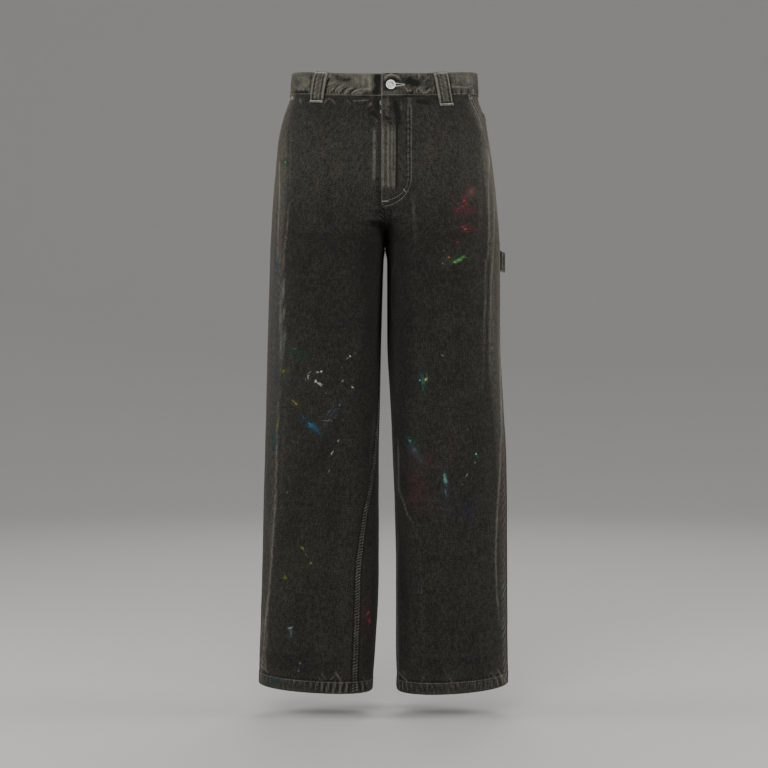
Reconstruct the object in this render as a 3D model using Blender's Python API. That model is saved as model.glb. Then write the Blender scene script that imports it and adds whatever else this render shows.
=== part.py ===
"""Paint spattered carpenter jeans, filled out and empty, as the pieces that a maker cuts and sews.

Metres, +Z up. X runs from the wearer's right (-X) to the wearer's left (+X), and the front faces -Y.
The origin is the middle of the waist opening. A place on the cloth is a level, in metres down from
the waistband's top edge, and an angle round one half of the body or one leg, in degrees: 0 at the
outer side, 90 in front, -90 behind and 180 on the inner side.
"""

import math

import bmesh
import bpy
import numpy as np

RIGHT, LEFT = -1, 1

# Driving sizes, in metres.
LENGTH = 1.0705         # waistband's top edge to the hem
TOP_HEIGHT = 0.020      # the top edge at the sides, above the origin
BAND = 0.040            # waistband height
CROTCH = 0.3006         # level where the legs part
FRONT_DIP = 0.0182      # the waist's edge lies this far down in front,
SIDE_DROP = 0.0023      # and this far down at the sides
BACK_RISE = 0.014       # and this much higher behind
HEM_TILT = 0.006        # the hem's outer side is this much higher than its middle
HEM_DIP = (0.0030, 0.0048)   # the front of the right and of the left hem hangs this much lower
SQUARENESS = 2.3        # superellipse power of every section, 2 is a true ellipse
RISE_POWER = 7.0        # how late the rise seam curves under, towards the crotch
CLEFT_FILL = 0.007      # how far the cloth bridges the hollow over the rise seam
CLEFT_REACH = 0.020

CLOTH = 0.0015          # wall of one layer of heavy denim
BAND_CLOTH = 0.0024     # doubled waistband
HEM_CLOTH = 0.0036      # hem turned twice
HEM = 0.022
SEAM_GAP = 0.0003       # between neighbouring pieces
LAY_GAP = 0.0008        # under a piece that lies on a curved panel
EDGE_ANGLE = 0.09       # half a seam gap, as degrees round a leg
BAND_OUT = 0.0008       # the waistband stands this far out from the panels

FLY_EDGE = 0.0065       # the wearer's left front laps this far past the middle
FLY_LIFT = 0.0036       # and lies this far out, over the zip
FLY_BOTTOM = 0.232      # level of the fly's lower end
FLY_CLOSED = 0.245      # level where the lap has run out
FLY_FLAT = 0.262        # level where the lift has run out
FLY_FLAT_FROM, FLY_FLAT_TO = 0.0025, 0.0125   # the lift fades between these, from the middle

ZIP_INNER, ZIP_OUTER = 0.19, 0.92             # the zip's edges, in the first column of the right front
ZIP_THICK = 0.0012
ZIP_ROWS = 8

MOUTH_BOTTOM = 0.131                          # level where the pocket mouth meets the side seam
MOUTH_TOP = {RIGHT: 12.5, LEFT: 24.7}         # angle of the mouth at the waistband
MOUTH_LAP = 4.0                               # the facing runs on under the front by this angle
FACING_DEEP = 0.0028                          # the facing's face, below the front's face
FACING_BOTTOM = 0.135
FACING_LEAST = 1.2                            # its least width outside of the mouth, degrees
FACING_SLOPE = 4.5                            # it comes up to the side seam's level over this angle

YOKE_MIDDLE, YOKE_SIDE = 0.112, 0.078         # levels of the yoke seam

# The back pocket in the back panel's own rows and columns: top and bottom rows, how far its corners
# and its point reach below, and the columns of its inner and outer edge at top and bottom.
POCKET = {"top": 1.0, "bottom": 7.0, "corner": 0.1, "point": 0.7, "inner": (2.3, 2.8), "outer": (9.4, 9.1)}

LOOP_WIDTH = 0.025
LOOP_THICK = 0.0022
LOOP_PUFF = 0.0040      # inner face of a belt loop at its middle, out from the panel
LOOP_COLUMNS = ("name", "side", "top_angle", "bottom_angle", "bottom")
LOOPS = (
    ("belt_loop_front_right", RIGHT, 51.5, 49.3, 0.0535),
    ("belt_loop_front_left", LEFT, 58.0, 54.2, 0.0585),
    ("belt_loop_back_right", RIGHT, -36.0, -37.0, 0.0550),
    ("belt_loop_back_left", LEFT, -33.0, -34.0, 0.0550),
    ("belt_loop_back_middle", LEFT, -90.0, -90.0, 0.0550),
)

LAP_END, UNDER_END = -0.0065, 0.034           # ends of the waistband, from the middle
LAP_LIFT = 0.0028                             # the lap lies this far out from the under end
LAP_FLAT_FROM, LAP_FLAT_TO = 0.038, 0.068

BUTTON_X, BUTTON_LEVEL = 0.0096, 0.0205
EYE_RADIUS = 0.0032
SLOT_END, SLOT_HALF = 0.033, 0.0008

HAMMER_COLUMNS = ("along", "angle", "level", "out")
HAMMER = (
    (0.00, 6.5, 0.328, 0.0006),
    (0.07, 4.0, 0.328, 0.0006),
    (0.20, 0.0, 0.329, 0.0074),
    (0.42, -9.0, 0.327, 0.0088),
    (0.64, -20.0, 0.320, 0.0080),
    (0.82, -31.0, 0.309, 0.0062),
    (0.93, -37.5, 0.300, 0.0028),
    (1.00, -42.0, 0.295, 0.0028),
)
HAMMER_WIDTH = 0.035

# The shape of the body and legs. out and gap are from the middle to the outer and inner side, depth
# is half of the front-to-back size, lean moves a section back, and the seams' angles say how the
# legs are turned.
SECTION_COLUMNS = ("level", "out_right", "out_left", "gap_right", "gap_left", "depth", "lean",
                   "outseam_right", "outseam_left", "inseam_right", "inseam_left")
SECTIONS = (
    (0.0000, 0.1612, 0.1610, 0.0000, 0.0000, 0.106, 0.000, -7.0, 3.0, 180.0, 180.0),
    (0.0400, 0.1655, 0.1620, 0.0000, 0.0000, 0.110, 0.000, -6.0, 5.0, 180.0, 180.0),
    (0.0800, 0.1780, 0.1745, 0.0000, 0.0000, 0.117, 0.002, -2.5, 9.5, 180.0, 180.0),
    (0.1310, 0.1870, 0.1835, 0.0000, 0.0000, 0.125, 0.006, 2.0, 14.0, 180.0, 180.0),
    (0.1850, 0.1920, 0.1905, 0.0000, 0.0000, 0.130, 0.010, 1.0, 10.0, 180.0, 180.0),
    (0.2550, 0.1970, 0.1975, 0.0000, 0.0000, 0.131, 0.011, 0.0, 7.0, 180.0, 180.0),
    (0.3006, 0.1995, 0.2005, 0.0000, 0.0000, 0.127, 0.010, -1.0, 7.0, 180.0, 180.0),
    (0.3250, 0.2005, 0.2010, 0.0032, 0.0046, 0.123, 0.009, -2.0, 7.0, 178.5, 181.5),
    (0.4650, 0.2045, 0.2010, 0.0068, 0.0042, 0.108, 0.003, -8.0, 9.0, 172.0, 187.0),
    (0.5700, 0.2070, 0.2055, 0.0085, 0.0090, 0.097, 0.000, -16.0, 12.0, 164.0, 190.0),
    (0.6750, 0.2095, 0.2115, 0.0108, 0.0140, 0.087, -0.001, -28.0, 15.0, 152.0, 194.0),
    (0.7800, 0.2125, 0.2130, 0.0105, 0.0178, 0.078, 0.001, -42.0, 15.0, 132.0, 196.0),
    (0.8850, 0.2150, 0.2135, 0.0108, 0.0192, 0.071, 0.005, -48.0, 14.0, 124.0, 196.0),
    (0.9900, 0.2185, 0.2145, 0.0160, 0.0192, 0.065, 0.009, -48.0, 13.0, 125.0, 195.0),
    (1.0705, 0.2205, 0.2150, 0.0220, 0.0208, 0.060, 0.011, -47.0, 12.0, 127.0, 194.0),
)

# The largest soft folds: side, level and angle of the middle, half length and half width in metres,
# how far the fold slants (metres across per metre down), and its height out (+) or depth (-).
FOLD_COLUMNS = ("side", "level", "angle", "half_length", "half_width", "slant", "height")
FOLDS = (
    (LEFT, 0.72, 128.0, 0.090, 0.020, 0.20, 0.0022),
    (LEFT, 0.92, 112.0, 0.100, 0.022, 0.06, -0.0022),
    (RIGHT, 0.83, 84.0, 0.050, 0.024, -0.25, 0.0020),
    (RIGHT, 0.42, 118.0, 0.070, 0.022, 0.45, -0.0020),
    (LEFT, 0.36, 122.0, 0.060, 0.020, -0.40, 0.0018),
    (RIGHT, 0.36, -118.0, 0.060, 0.024, -0.55, -0.0032),
    (LEFT, 0.38, -122.0, 0.070, 0.024, 0.55, -0.0030),
    (RIGHT, 0.60, -96.0, 0.050, 0.026, 0.60, -0.0026),
    (LEFT, 0.63, -88.0, 0.055, 0.026, -0.55, -0.0028),
    (LEFT, 0.86, -100.0, 0.080, 0.024, 0.25, 0.0022),
)

FRONT_LEVELS = (0.0405, 0.060, 0.080, 0.105, MOUTH_BOTTOM, 0.158, 0.185, 0.210, FLY_BOTTOM, FLY_CLOSED,
                FLY_FLAT, 0.275, 0.286, 0.2935, 0.2983, CROTCH)
LEG_LEVELS = (0.311, 0.325, 0.348, 0.380, 0.420, 0.465, 0.515, 0.570, 0.625, 0.675, 0.725, 0.780, 0.830,
              0.885, 0.940, 0.995, LENGTH - HEM - 0.0008, LENGTH - HEM, LENGTH)
BACK_LEVELS = (0.131, 0.158, 0.185, 0.210, 0.232, 0.255, 0.272, 0.286, 0.2935, 0.2983, CROTCH)
CELLS = 12              # columns of cells across each panel

FINISHES = {
    "denim": ((0.020, 0.020, 0.017), 0.90, 0.0),
    "denim_light": ((0.075, 0.068, 0.055), 0.90, 0.0),
    "steel": ((0.62, 0.60, 0.55), 0.32, 1.0),
}


def smooth(levels, values, at):
    """A smooth curve through the rows of a table, with no overshoot."""
    step = np.diff(levels)
    slope = np.diff(values) / step
    total = slope[1:] + slope[:-1]
    same_way = slope[1:] * slope[:-1] > 0
    middle = np.where(same_way, 2 * slope[1:] * slope[:-1] / np.where(same_way, total, 1), 0)
    tangent = np.concatenate([slope[:1], middle, slope[-1:]])
    at = np.clip(at, levels[0], levels[-1])
    i = np.clip(np.searchsorted(levels, at, side="right") - 1, 0, len(step) - 1)
    t = (at - levels[i]) / step[i]
    return (values[i] * (1 + 2 * t) * (1 - t) ** 2 + values[i + 1] * t * t * (3 - 2 * t)
            + step[i] * (tangent[i] * t * (1 - t) ** 2 - tangent[i + 1] * t * t * (1 - t)))


SECTION_TABLE = np.array(SECTIONS)


def column(name, at):
    """One named column of SECTIONS, at any levels."""
    values = SECTION_TABLE[:, SECTION_COLUMNS.index(name)]
    return smooth(SECTION_TABLE[:, 0], values, np.asarray(at, float))


def sided(name, side, at):
    return np.where(np.asarray(side) == LEFT, column(name + "_left", at), column(name + "_right", at))


def ease(value):
    """0 below 0, 1 above 1, and a soft step between."""
    t = np.clip(value, 0, 1)
    return t * t * (3 - 2 * t)


def rise(level):
    """How far in front of or behind the middle the rise seam lies, as a part of the depth, and the
    share of a half section's width that lies inside of its middle."""
    down = np.clip((np.asarray(level, float) - BAND) / (CROTCH - BAND), 0, 1)
    reach = np.sqrt(1 - down ** RISE_POWER)
    share = (1 - reach ** SQUARENESS) ** (1 / SQUARENESS)
    return reach, share


def section(side, level):
    """Half width and middle, from the centre line, of a section."""
    _, share = rise(level)
    out = sided("out", side, level)
    half = (out - sided("gap", side, level)) / (1 + share)
    return half, out - half


def middle_angle(level):
    """The angle at which a section above the crotch meets the centre line."""
    _, share = rise(level)
    return np.degrees(np.arccos(-share ** (SQUARENESS / 2)))


def angle_at(side, level, x):
    """The angle in front where the cloth is x from the centre line; x below 0 is past it."""
    half, middle = section(side, level)
    across = np.clip((np.abs(x) - middle) / half, -1, 1)
    angle = np.degrees(np.arccos(np.sign(across) * np.abs(across) ** (SQUARENESS / 2)))
    return np.where(np.asarray(x) < 0, 2 * middle_angle(level) - angle, angle)


def cloth_point(side, level, angle):
    """The cloth's face, before its folds."""
    side, level, angle = np.broadcast_arrays(side, np.asarray(level, float), np.asarray(angle, float))
    above = level < CROTCH
    limit = np.where(above, middle_angle(level), 1e3)
    past = np.abs(angle) > limit
    angle = np.where(past, np.sign(angle) * (2 * limit - np.abs(angle)), angle)
    half, middle = section(side, level)
    turn = np.radians(angle)
    cosine, sine = np.cos(turn), np.sin(turn)
    across = np.sign(cosine) * np.abs(cosine) ** (2 / SQUARENESS)
    forward = np.sign(sine) * np.abs(sine) ** (2 / SQUARENESS)
    x = middle + half * across
    depth = column("depth", level)
    reach, share = rise(level)
    steep = depth / half * (share / np.maximum(reach, 0.03)) ** (SQUARENESS - 1)
    most = CLEFT_FILL * np.clip(1 - (level / CROTCH) ** 8, 0, 1) + 1e-6
    fill = steep * CLEFT_REACH / (1 + steep * CLEFT_REACH / most)
    fill = np.where(above, fill, 0)
    near = np.exp(-np.maximum(x, 0) * steep / np.maximum(fill, 1e-6))
    y = column("lean", level) - depth * forward - np.sign(sine) * fill * near
    waist = np.clip(1 - (level / CROTCH) ** 2, 0, 1)
    lift = np.where(forward > 0, -FRONT_DIP, BACK_RISE) * forward ** 2 * waist
    lift = lift - SIDE_DROP * (1 - forward ** 2) * waist
    dip = np.where(side > 0, HEM_DIP[1], HEM_DIP[0]) * np.maximum(forward, 0) ** 2
    tilt = (HEM_TILT * across - dip) * ease((level - 0.80) / (LENGTH - 0.80))
    x = np.where(past, -x, x) + SEAM_GAP / 2
    return np.stack([side * x, y, TOP_HEIGHT - level + lift + tilt], -1)


def cloth_normal(side, level, angle):
    """The way out of the cloth."""
    side, level, angle = np.broadcast_arrays(side, np.asarray(level, float), np.asarray(angle, float))
    small, turn = 0.0006, 0.6
    beside = np.where((level < CROTCH) & (level + small > CROTCH), -1, 1)
    beside = np.where((level >= CROTCH) & (level - small < CROTCH), 1, beside)
    round_it = cloth_point(side, level, angle + turn) - cloth_point(side, level, angle - turn)
    down = (cloth_point(side, level + beside * small, angle) - cloth_point(side, level, angle))
    normal = np.cross(round_it, down * beside[..., None])
    normal /= np.linalg.norm(normal, axis=-1, keepdims=True)
    _, middle = section(side, level)
    inside = np.stack([side * middle, column("lean", level), cloth_point(side, level, angle)[..., 2]], -1)
    outward = np.sum(normal * (cloth_point(side, level, angle) - inside), -1, keepdims=True)
    return normal * np.where(outward < 0, -1, 1)


def fold_height(side, level, angle):
    """How far the large folds move the cloth out at these places."""
    total = np.zeros(np.broadcast(level, angle).shape)
    for row in FOLDS:
        fold = dict(zip(FOLD_COLUMNS, row))
        along = level - fold["level"]
        across = np.radians(angle - fold["angle"]) * 0.105 - along * fold["slant"]
        bump = np.exp(-(along / fold["half_length"]) ** 2 - (across / fold["half_width"]) ** 2)
        total = total + np.where(np.asarray(side) == fold["side"], fold["height"] * bump, 0)
    return total


def along_edge_normals(points):
    """The way out of the cloth at the rise seam, square to the seam within its own plane."""
    run = np.gradient(points[:, 1:], axis=0)
    normal = np.stack([np.zeros(len(run)), run[:, 1], -run[:, 0]], -1)
    normal /= np.linalg.norm(normal, axis=-1, keepdims=True)
    facing = np.sign(points[:, 1] - points[-1, 1])
    out = np.where(np.abs(normal[:, 2]) > 0.7, -normal[:, 2], normal[:, 1] * facing)
    return normal * np.where(out < 0, -1, 1)[:, None]


def mesh_object(name, points, faces, finish, soft=True):
    mesh = bpy.data.meshes.new(name)
    mesh.from_pydata([tuple(p) for p in points], [], faces)
    shape = bmesh.new()
    shape.from_mesh(mesh)
    bmesh.ops.recalc_face_normals(shape, faces=shape.faces)
    shape.to_mesh(mesh)
    shape.free()
    if soft:
        mesh.shade_smooth()
        mesh.set_sharp_from_angle(angle=math.radians(40))
    mesh.materials.append(material(finish))
    made = bpy.data.objects.new(name, mesh)
    bpy.context.scene.collection.objects.link(made)
    return made


def material(finish):
    """Each piece has its own material, named for its finish."""
    colour, roughness, metallic = FINISHES[finish]
    made = bpy.data.materials.new(finish)
    made.use_nodes = True
    shader = made.node_tree.nodes["Principled BSDF"]
    shader.inputs["Base Color"].default_value = (*colour, 1)
    shader.inputs["Roughness"].default_value = roughness
    shader.inputs["Metallic"].default_value = metallic
    return made


def wall(name, outer, inner, finish="denim"):
    """A closed wall between two grids of points of the same shape. Every cell is split the same way,
    so that a piece laid on a panel has the panel's own facets."""
    rows, columns = outer.shape[:2]
    points = np.concatenate([outer.reshape(-1, 3), inner.reshape(-1, 3)])
    index = np.arange(rows * columns).reshape(rows, columns)
    back = rows * columns
    faces = []
    for r in range(rows - 1):
        for c in range(columns - 1):
            a, b, d, e = index[r, c], index[r, c + 1], index[r + 1, c + 1], index[r + 1, c]
            faces += [[a, b, d], [a, d, e], [d + back, b + back, a + back], [e + back, d + back, a + back]]
    rim = list(index[0]) + list(index[1:, -1]) + list(index[-1, -2::-1]) + list(index[-2:0:-1, 0])
    for a, b in zip(rim, rim[1:] + rim[:1]):
        faces.append([b, a, a + back, b + back])
    return mesh_object(name, points, [[int(i) for i in f] for f in faces], finish)


class Panel:
    """A panel's grid: its face and the way out at every row and column."""

    def __init__(self, side, levels, angles, lift=0.0):
        self.side, self.levels, self.angles = side, levels, angles
        self.normal = cloth_normal(side, levels, angles)
        out = fold_height(side, levels, angles) + lift
        self.face = cloth_point(side, levels, angles)
        self.lift = out

    def seam_edge(self, first, last):
        """Above the crotch the inner column lies in the centre plane, and so does its thickness."""
        self.normal[first:last, 0] = along_edge_normals(self.face[:last, 0])[first:]

    def at(self, row, col, out):
        """Points on the panel's facets at these rows and columns, moved out."""
        row, col, out = np.broadcast_arrays(np.asarray(row, float), np.asarray(col, float), out)
        r = np.clip(row.astype(int), 0, self.face.shape[0] - 2)
        c = np.clip(col.astype(int), 0, self.face.shape[1] - 2)
        v, u = (row - r)[..., None], (col - c)[..., None]
        place = {}
        for key, a, b in (("first", r, c), ("beside", r, c + 1), ("below", r + 1, c), ("far", r + 1, c + 1)):
            place[key] = self.face[a, b] + self.normal[a, b] * (self.lift[a, b] + out)[..., None]
        upper = place["first"] * (1 - u) + place["beside"] * (u - v) + place["far"] * v
        lower = place["first"] * (1 - v) + place["below"] * (v - u) + place["far"] * u
        return np.where(u > v, upper, lower)

    def build(self, name, thick=CLOTH):
        outer = self.face + self.normal * self.lift[..., None]
        inner = self.face + self.normal * (self.lift - thick)[..., None]
        wall(name, outer, inner)
        return self


def inner_angles(side, levels, sign):
    """The angle of a panel's inner edge: the rise seam, then the inseam."""
    inseam = sided("inseam", side, levels)
    seam = np.where(sign > 0, inseam - EDGE_ANGLE, 360 - inseam - EDGE_ANGLE)
    return sign * np.where(levels < CROTCH, middle_angle(levels), seam)


def leg_thickness(levels):
    """One layer, and the turned hem below."""
    return np.where(levels > LENGTH - HEM - 0.0004, HEM_CLOTH, CLOTH)


def mouth_angle(side, level):
    bottom = sided("outseam", side, MOUTH_BOTTOM)
    share = (level - BAND) / (MOUTH_BOTTOM - BAND)
    return MOUTH_TOP[side] + (bottom - MOUTH_TOP[side]) * share


def front_panel(side):
    """A front leg from the waistband to the hem, with the pocket mouth cut from its top corner."""
    levels = np.array(FRONT_LEVELS + LEG_LEVELS)
    outer = sided("outseam", side, levels) + EDGE_ANGLE
    outer = np.where(levels < MOUTH_BOTTOM, mouth_angle(side, levels), outer)
    inner = inner_angles(side, levels, 1)
    share = np.linspace(0, 1, CELLS + 1)
    even = inner[:, None] + (outer - inner)[:, None] * share
    laps = side == LEFT
    edge = np.where(levels <= FLY_BOTTOM, -FLY_EDGE, 0) if laps else np.zeros(len(levels))
    near = np.stack([edge, np.full(len(levels), 0.0025 if laps else 0.0105),
                     np.full(len(levels), 0.0125 if laps else 0.0225)], 1)
    close = angle_at(side, np.minimum(levels, 0.285)[:, None], near)
    rest = close[:, 2:3] + (outer[:, None] - close[:, 2:3]) * np.linspace(0, 1, CELLS - 1)[1:]
    by_the_fly = np.concatenate([close, rest], 1)
    down = ease((levels - FLY_CLOSED) / (0.290 - FLY_CLOSED))[:, None]
    angles = by_the_fly * (1 - down) + even * down
    above = levels < CROTCH
    angles[above, 0] = angle_at(side, levels[above], edge[above])
    lift = 0.0
    if laps:
        x = np.where(above[:, None], cloth_point(LEFT, levels[:, None], angles)[..., 0], 1)
        fade = 1 - ease((x - FLY_FLAT_FROM) / (FLY_FLAT_TO - FLY_FLAT_FROM))
        lift = FLY_LIFT * fade * (1 - ease((levels - FLY_CLOSED) / (FLY_FLAT - FLY_CLOSED)))[:, None]
    panel = Panel(side, np.repeat(levels[:, None], CELLS + 1, 1), angles, lift)
    lapped = int(np.sum(levels <= FLY_BOTTOM)) if laps else 0
    panel.seam_edge(lapped, len(FRONT_LEVELS))
    return panel.build("front_" + side_name(side), leg_thickness(levels)[:, None])


def yoke_level(share):
    """The yoke seam, from the middle of the back (0) to the side seam (1)."""
    return YOKE_MIDDLE + (YOKE_SIDE - YOKE_MIDDLE) * share


def back_columns(side, levels, share):
    inner = inner_angles(side, levels, -1)
    outer = sided("outseam", side, levels) - EDGE_ANGLE
    return inner + (outer - inner) * share


def back_panel(side):
    """A back leg from the yoke seam to the hem."""
    share = np.linspace(0, 1, CELLS + 1)
    flat = np.array(BACK_LEVELS + LEG_LEVELS)
    levels = np.repeat(flat[:, None], CELLS + 1, 1)
    top = yoke_level(share)[None] + SEAM_GAP / 2
    levels = np.concatenate([top, (top + levels[:1]) / 2, levels])
    angles = back_columns(side, levels, share)
    panel = Panel(side, levels, angles)
    panel.seam_edge(0, len(BACK_LEVELS) + 2)
    thick = np.concatenate([[CLOTH, CLOTH], leg_thickness(flat)])
    return panel.build("back_" + side_name(side), thick[:, None])


def yoke(side):
    share = np.linspace(0, 1, CELLS + 1)
    bottom = yoke_level(share) - SEAM_GAP / 2
    levels = 0.0405 + (bottom - 0.0405)[None] * np.array([0, 0.2, 0.55, 1])[:, None]
    panel = Panel(side, levels, back_columns(side, levels, share))
    panel.seam_edge(0, 4)
    return panel.build("yoke_" + side_name(side))


def pocket_facing(side):
    """The cloth that shows behind the pocket mouth: under the front at the mouth, level at the side."""
    levels = np.array([0.0405, 0.060, 0.080, 0.105, 0.119, FACING_BOTTOM])[:, None]
    mouth = mouth_angle(side, np.minimum(levels, MOUTH_BOTTOM))
    outer = sided("outseam", side, levels) + EDGE_ANGLE
    share = np.array([0.0, 0.34, 0.67, 1.0])
    under = mouth + MOUTH_LAP
    first = np.maximum(mouth, outer + FACING_LEAST)
    angles = np.concatenate([under, first + (outer - first) * share], 1)
    width = np.maximum(mouth - outer, FACING_SLOPE)
    depth = -FACING_DEEP * (1 - ease((mouth - angles) / width))
    panel = Panel(side, np.repeat(levels, angles.shape[1], 1), angles, depth)
    return panel.build("pocket_facing_" + side_name(side))


def side_name(side):
    return "left" if side == LEFT else "right"


def back_pocket(side, back):
    """A patch pocket with a pointed lower edge, on the back panel's own facets."""
    top, bottom = POCKET["top"], POCKET["bottom"]
    grid_rows, grid_columns = [], []
    for r in [*np.arange(top, bottom + 1), None]:
        share = 1 if r is None else (r - top) / (bottom - top)
        inner, outer = (POCKET[k][0] + (POCKET[k][1] - POCKET[k][0]) * share for k in ("inner", "outer"))
        line = [inner, *np.arange(math.ceil(inner), outer), outer]
        middle = (inner + outer) / 2
        tip = [1 - 2 * abs(c - middle) / (outer - inner) for c in line]
        pointed = [bottom + POCKET["corner"] + (POCKET["point"] - POCKET["corner"]) * t for t in tip]
        grid_rows.append(pointed if r is None else [r] * len(line))
        grid_columns.append(line)
    low = back.at(grid_rows, grid_columns, LAY_GAP)
    high = back.at(grid_rows, grid_columns, LAY_GAP + CLOTH)
    wall("back_pocket_" + side_name(side), high, low)


def zip_strip(front):
    """The zip's tape and teeth, on the wearer's right front, mostly under the fly."""
    rows = np.arange(ZIP_ROWS + 1)[:, None] * 1.0
    rows[0] = 0.1
    columns = np.array([ZIP_OUTER, 0.55, ZIP_INNER])[None]
    low = front.at(rows, columns, SEAM_GAP)
    high = front.at(rows, columns, SEAM_GAP + ZIP_THICK)
    wall("zip", high, low, "steel")


def waistband():
    """One doubled strip all round; its left end laps over its right end, and has the buttonhole."""
    places = []
    for x in (LAP_END, 0.0, 0.010, 0.020, 0.029, LAP_FLAT_FROM, 0.048, 0.058, LAP_FLAT_TO):
        places.append((LEFT, x, None))
    places += [(LEFT, None, a) for a in np.linspace(60, -84, 19)]
    places += [(RIGHT, None, a) for a in np.linspace(-90, 66, 20)]
    for x in (0.052, 0.040, 0.028, 0.018, 0.008, -0.002, -0.012, -0.022, -UNDER_END):
        places.append((RIGHT, x, None))
    levels = np.array([0.0, BAND / 2, BAND - SEAM_GAP / 2])
    outer, inner = [], []
    for side, x, angle in places:
        turn = angle_at(side, levels, x) if angle is None else np.full(3, angle)
        point, normal = cloth_point(side, levels, turn), cloth_normal(side, levels, turn)
        out = BAND_OUT
        if side == LEFT and x is not None:
            out += LAP_LIFT * float(1 - ease((x - LAP_FLAT_FROM) / (LAP_FLAT_TO - LAP_FLAT_FROM)))
        outer.append(point + normal * out)
        inner.append(point + normal * (out - BAND_CLOTH))
    outer, inner = (np.array(v).transpose(1, 0, 2) for v in (outer, inner))
    band = wall("waistband", outer, inner)
    cut = band.modifiers.new("buttonhole", "BOOLEAN")
    cut.operation = "DIFFERENCE"
    cut.object = keyhole()
    return band


def keyhole():
    """The cutter of the buttonhole: a round eye at the button and a slot away from it."""
    opening = math.asin(SLOT_HALF / EYE_RADIUS)
    outline = [(SLOT_END, -SLOT_HALF), (SLOT_END, SLOT_HALF)]
    for turn in np.linspace(opening, 2 * math.pi - opening, 15):
        outline.append((BUTTON_X + EYE_RADIUS * math.cos(turn), EYE_RADIUS * math.sin(turn)))
    rings = []
    for out in (BAND_OUT + LAP_LIFT + 0.002, BAND_OUT + 0.0002):
        for x, up in outline:
            level = BUTTON_LEVEL - up
            angle = angle_at(LEFT, level, x)
            rings.append(cloth_point(LEFT, level, angle) + cloth_normal(LEFT, level, angle) * out)
    count = len(outline)
    faces = [list(range(count)), list(range(2 * count - 1, count - 1, -1))]
    faces += [[i, (i + 1) % count, (i + 1) % count + count, i + count] for i in range(count)]
    cutter = mesh_object("buttonhole_cutter", rings, faces, "denim", soft=False)
    cutter.hide_render = True
    cutter.display_type = "WIRE"
    return cutter


def button():
    """A shank button: the shank stands on the under end, and passes through the buttonhole's eye."""
    low = BAND_OUT + SEAM_GAP
    under_cap = BAND_OUT + LAP_LIFT + LAY_GAP
    profile = (
        (0.0022, low), (0.0022, under_cap), (0.0078, under_cap), (0.0084, under_cap + 0.0006),
        (0.0084, under_cap + 0.0013), (0.0078, under_cap + 0.0020), (0.0069, under_cap + 0.0023),
        (0.0056, under_cap + 0.0019), (0.0036, under_cap + 0.0020), (0.0018, under_cap + 0.0025),
    )
    sides = 22
    angle = angle_at(LEFT, BUTTON_LEVEL, BUTTON_X)
    seat = cloth_point(LEFT, BUTTON_LEVEL, angle)
    out = cloth_normal(LEFT, BUTTON_LEVEL, angle)
    across = np.cross([0, 0, 1], out)
    across /= np.linalg.norm(across)
    up = np.cross(out, across)
    points = [seat + out * low]
    for radius, height in profile:
        for turn in np.arange(sides) * math.tau / sides:
            ring = across * math.cos(turn) + up * math.sin(turn)
            points.append(seat + out * height + ring * radius)
    points.append(seat + out * (under_cap + 0.0026))
    top = len(points) - 1
    faces = []
    for i in range(sides):
        j = (i + 1) % sides
        faces.append([0, 1 + j, 1 + i])
        last = 1 + (len(profile) - 1) * sides
        faces.append([top, last + i, last + j])
        for k in range(len(profile) - 1):
            a = 1 + k * sides
            faces.append([a + i, a + j, a + sides + j, a + sides + i])
    mesh_object("button", points, faces, "steel")


def belt_loop(name, side, top_angle, bottom_angle, bottom):
    """A wide loop, sewn at the band's top and below its seam, standing out between."""
    run = (
        (0.0012, BAND_OUT + LAY_GAP), (0.0040, BAND_OUT + LAY_GAP), (0.0110, LOOP_PUFF),
        (0.0240, LOOP_PUFF + 0.0004), (bottom - 0.0135, LOOP_PUFF - 0.0002),
        (bottom - 0.0065, 0.0014), (bottom - 0.0040, LAY_GAP), (bottom, LAY_GAP),
    )
    level = np.array([r[0] for r in run])[:, None]
    out = np.array([r[1] for r in run])[:, None, None]
    middle = top_angle + (bottom_angle - top_angle) * level / bottom
    here = cloth_point(side, level, middle)
    beside = cloth_point(side, level, middle + 1)
    per_degree = np.linalg.norm(beside - here, axis=-1)
    across = np.array([-0.5, 0.0, 0.5])[None] * LOOP_WIDTH
    angles = middle + across / per_degree
    point, normal = cloth_point(side, level, angles), cloth_normal(side, level, angles)
    wall(name, point + normal * (out + LOOP_THICK), point + normal * out)


def hammer_loop():
    """A strap from the left side seam to the back pocket, standing well out from the leg."""
    rows = {name: np.array([r[i] for r in HAMMER]) for i, name in enumerate(HAMMER_COLUMNS)}
    across = np.array([-0.5, 0.0, 0.5])[None] * HAMMER_WIDTH
    levels = rows["level"][:, None] + across
    angles = np.repeat(rows["angle"][:, None], 3, 1)
    out = rows["out"][:, None, None] * np.ones((1, 3, 1))
    point, normal = cloth_point(LEFT, levels, angles), cloth_normal(LEFT, levels, angles)
    wall("hammer_loop", point + normal * (out + LOOP_THICK), point + normal * out)


def clear_scene():
    for old in list(bpy.data.objects):
        bpy.data.objects.remove(old, do_unlink=True)


def jeans():
    clear_scene()
    fronts = {side: front_panel(side) for side in (RIGHT, LEFT)}
    backs = {side: back_panel(side) for side in (RIGHT, LEFT)}
    for side in (RIGHT, LEFT):
        yoke(side)
        pocket_facing(side)
        back_pocket(side, backs[side])
    zip_strip(fronts[RIGHT])
    waistband()
    button()
    for row in LOOPS:
        belt_loop(**dict(zip(LOOP_COLUMNS, row)))
    hammer_loop()


jeans()
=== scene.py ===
# %% [markdown]
# # Paint spattered carpenter jeans
#
# The jeans stand filled out, as if someone wore them, with an open waist and two open legs. The
# frame comes first: it holds every sewn piece as a plain solid at its real size. Each cloth piece
# here is a thin shell on the form of its solid, with its own seams, puckers, creases and wear.

# %% The frame
import math

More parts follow.
